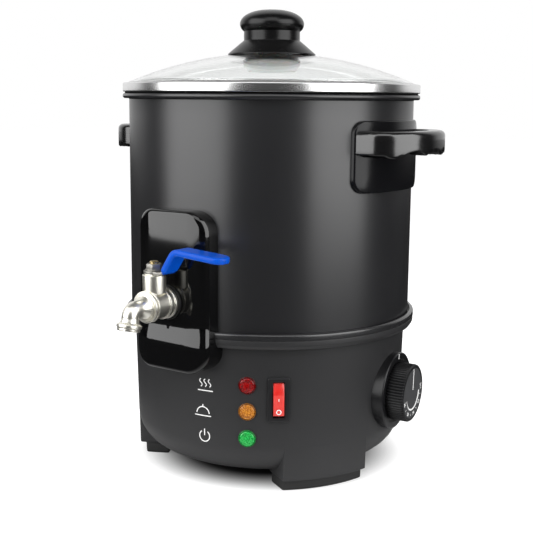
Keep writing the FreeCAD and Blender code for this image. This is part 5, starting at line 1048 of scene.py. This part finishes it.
def build_dial():
    place = on_wall(DIAL_AZ, DIAL_Z)
    face, floor = DIAL_RIM_FACE, DIAL_RIM_FACE - DIAL_RECESS
    bezel = turned([(7.6, -7.0), (DIAL_RIM_R, -7.0), (DIAL_RIM_R, face, 1.1), (DIAL_RECESS_R, face, 0.6),
                    (DIAL_RECESS_R, floor, 0.4), (7.6, floor)], place, sides=144)
    piece_of("bezel_form", bezel, ("dial_bezel",))
    back, front = floor + 0.35, KNOB_FACE - 0.25
    knob = turned([(0, back), (KNOB_R - 1.2, back), (KNOB_R, back + 0.5, 0.3), (KNOB_R, KNOB_FACE, 1.6),
                   (KNOB_R - 2.6, KNOB_FACE, 0.3), (KNOB_R - 2.9, front, 0.2), (0, front)], place,
                  closed=False, sides=KNOB_RIBS * 6, ribs=KNOB_RIBS, rib_depth=KNOB_RIB_DEPTH,
                  rib_from=KNOB_R - 0.9, step=3.0)
    piece_of("knob_form", cut_out(knob, cylinder(SPINDLE_HOLE_R, 0, back + 5.0, place)), ("dial_knob",))

    top, on_dial = KNOB_FACE - 0.12, {"body": BODY_OF["dial_knob"], "slot": "dial_plastic"}
    disc = turned([(0, KNOB_FACE - 1.0), (KNOB_R - 2.7, KNOB_FACE - 1.0), (KNOB_R - 2.7, top, 0.15),
                   (0, top)], place, closed=False)
    piece_of("dial_face", disc, material=DIAL_FACE, **on_dial)

    ticks = grown("marks", print_bar(0.6, 1.5, 0.1, lift=TICK_R), count=4, start=math.radians(-105),
                  sweep=math.radians(-126))
    prints = [move(print_bar(1.15, 15.6, 0.3), place @ Matrix.Translation((0, LINE_Y, top))),
              move(ticks, place @ Matrix.Translation((0, 0, top)))]
    steps, start, sweep = 60, 92.0, 162.0
    wedge = []
    for i in range(steps + 1):
        a = math.radians(start + sweep * i / steps)
        half = 0.2 + 0.9 * (1 - i / steps)
        low, high = top - PRINT_SINK, top + PRINT_PROUD
        wedge.append([(math.sin(a) * (WEDGE_R + side), math.cos(a) * (WEDGE_R + side), z)
                      for side, z in ((-half, low), (half, low), (half, high), (-half, high))])
    prints.append(move(skin(wedge, "wedge"), place))
    for i, words in enumerate(("110", "90", "70", "50", "30")):
        a = math.radians(84 + 42 * i)
        spot = Matrix.Translation((NUMBER_R * math.sin(a), NUMBER_R * math.cos(a), top + 0.04))
        prints.append(text_form(words, place @ spot @ Matrix.Rotation(math.pi - a, 4, "Z")))
    piece_of("dial_prints", joined(*prints), material=WHITE, **on_dial)
    index = move(print_bar(1.2, 3.5, 0.2), place @ Matrix.Translation((0, INDEX_Y, face)))
    piece_of("dial_index", index, body="melter_body", slot="bezel_plastic", material=WHITE)


# ------------ printed signs
def sign(name, strokes, az, z):
    """Sign of plain strokes given in millimetres, printed on the base wall."""
    points, edges = [], []
    for line in strokes:
        edges += [(len(points) + i, len(points) + i + 1) for i in range(len(line) - 1)]
        points += [(x * MM, y * MM, 0) for x, y in line]
    source = bpy.data.meshes.new("strokes")
    source.from_pydata(points, edges, [])
    mesh = grown("sign", source, stroke=SIGN_STROKE * MM, proud=SIGN_PROUD * MM,
                 azimuth=math.radians(az), height=z * MM)
    piece_of(name, mesh, body="melter_body", slot="base_plastic", material=WHITE)


def arc_line(cx, cy, r, start, end, steps=18):
    angles = [math.radians(start + (end - start) * i / steps) for i in range(steps + 1)]
    return [(cx + r * math.cos(a), cy + r * math.sin(a)) for a in angles]


def wave(x, y, height, steps=14):
    return [(x + math.sin(2 * math.pi * i / steps), y + height * i / steps) for i in range(steps + 1)]


def build_signs():
    sign("sign_heat", [wave(x, -0.4, 5.6) for x in (-3.4, 0.0, 3.4)] + [[(-6, -3.2), (6, -3.2)]], 10.4, 75.0)
    sign("sign_keep_warm", [arc_line(0, -2.2, 5.0, 4, 176), [(-6.4, -3.6), (6.4, -3.6)],
                            [(0, 2.9), (0, 4.6)]], 9.2, 57.0)
    sign("sign_power", [arc_line(0, 0, 4.0, 125, 415, 30), [(0, 0.4), (0, 5.2)]], 9.8, 38.6)


# ------------ camera
FOCAL_PX, FRAME_PX, SENSOR = 1021.0, 533.0, 36.0
CAM_DIST, CAM_HEIGHT, CAM_AZ = 779.1, 273.4, 36.0
CAM_PITCH, CAM_YAW, CAM_ROLL = 9.439, -0.173, 0.446


def add_camera():
    p, y, r = (math.radians(v) for v in (CAM_PITCH, CAM_YAW, CAM_ROLL))
    right = Vector((math.cos(y), -math.sin(y), 0))
    up = Vector((math.sin(p) * math.sin(y), math.sin(p) * math.cos(y), math.cos(p)))
    right, up = right * math.cos(r) + up * math.sin(r), up * math.cos(r) - right * math.sin(r)
    turn = Matrix((right, up, right.cross(up))).transposed().to_4x4()
    turn.translation = (0, -CAM_DIST * MM, CAM_HEIGHT * MM)
    data = bpy.data.cameras.new("camera")
    data.sensor_width, data.lens = SENSOR, SENSOR * FOCAL_PX / FRAME_PX
    data.shift_x, data.shift_y = -0.5 / FRAME_PX, 0.5 / FRAME_PX
    data.clip_start, data.clip_end = 0.05, 30
    camera = placed("camera", data)
    camera.matrix_world = turn_z(CAM_AZ) @ turn
    bpy.context.scene.camera = camera


# ------------ studio
AIM_Z, FLOOR_REACH = 0.17, 6.0      # metres
# The first floor colour is the painted shadow under the object.
FLOOR_PAINTED_SHADOW, FLOOR_TONE, FLOOR_SHINE = (0.03, 0.03, 0.03, 1), (0.8, 0.8, 0.8, 1), (0.034, 0.034, 0.034, 1)
PURE_WHITE = (1, 1, 1, 1)


def area_light(name, az, dist, height, width, tall, power):
    """Softbox at an azimuth round the object, facing it."""
    data = bpy.data.lights.new(name, "AREA")
    data.shape, data.size, data.size_y, data.energy = "RECTANGLE", width, tall, power
    lamp = placed(name, data)
    a = math.radians(az)
    lamp.location = (dist * math.sin(a), -dist * math.cos(a), height)
    lamp.rotation_euler = (lamp.location - Vector((0, 0, AIM_Z))).to_track_quat("Z", "Y").to_euler()


def ray_kinds(t):
    """Shares of a sample that are seen, directly or through glass, and that are reflected."""
    path = t.node("ShaderNodeLightPath").outputs
    return t.math("MAXIMUM", path["Is Camera Ray"], path["Is Transmission Ray"]), path["Is Glossy Ray"]


def add_studio():
    world = bpy.data.worlds.new("studio")
    bpy.context.scene.world = world
    world.use_nodes = True
    t = Tree(world.node_tree)
    t.tree.nodes.clear()
    seen, glossy = ray_kinds(t)
    way = t.node("ShaderNodeTexCoord").outputs["Generated"]
    a = math.radians(CAM_AZ + 180)
    behind = t.measure("DOT_PRODUCT", way, (math.sin(a), -math.cos(a), 0))
    wall = t.add(t.mul(t.ramp(behind, 0.25, 0.6), 0.9), 0.03)
    level = t.mix("FLOAT", seen, t.mix("FLOAT", glossy, 0.2, wall), 1.0)
    t.node("ShaderNodeOutputWorld", {"Surface": t.get("ShaderNodeBackground", {"Color": PURE_WHITE,
                                                                               "Strength": level})})
    area_light("softbox_left", -23.5, 1.08, 0.60, 1.26, 1.34, 17)
    area_light("softbox_right", 89, 1.15, 0.60, 1.15, 1.3, 16)
    area_light("softbox_top", 36, 0.9, 1.3, 0.9, 0.9, 5)


def add_floor():
    mesh = bpy.data.meshes.new("table")
    corners = ((-1, -1), (1, -1), (1, 1), (-1, 1))
    mesh.from_pydata([(x * FLOOR_REACH, y * FLOOR_REACH, 0) for x, y in corners], [], [(0, 1, 2, 3)])
    table = placed("table", mesh)
    mat, t, coords = blank("pale_table")
    seen, glossy = ray_kinds(t)
    away = t.measure("LENGTH", coords)
    # Within a disc round the object's axis the floor's colour and its glow for camera rays fall away: a
    # painted shadow under the object.
    clear_of_painted_shadow = t.ramp(away, 0.06, 0.12)
    shine = t.mul(glossy, t.ramp(away, 0.10, 0.26))
    tone = t.mix("RGBA", shine, t.mix("RGBA", clear_of_painted_shadow, FLOOR_PAINTED_SHADOW, FLOOR_TONE), FLOOR_SHINE)
    plain = t.get("ShaderNodeBsdfDiffuse", {"Color": tone})
    strength = t.mul(seen, t.mul(clear_of_painted_shadow, 0.85))
    glow = t.get("ShaderNodeEmission", {"Color": PURE_WHITE, "Strength": strength})
    t.node("ShaderNodeOutputMaterial", {"Surface": t.get("ShaderNodeAddShader", {0: plain, 1: glow})})
    mesh.materials.append(mat)


for build in (build_base, build_body, build_lid, build_cover, build_tap, build_lever, build_handles,
              build_lamps, build_switch, build_dial, build_signs):
    build()
for node in sorted(NODES):
    if node not in made:
        piece_of(node + "_form", refined(node), (node,), material=MILKY_PAINTED_GLOW if node == "lid_seal" else None)
add_camera()
add_studio()
add_floor()
bpy.context.scene.view_settings.view_transform = "Standard"
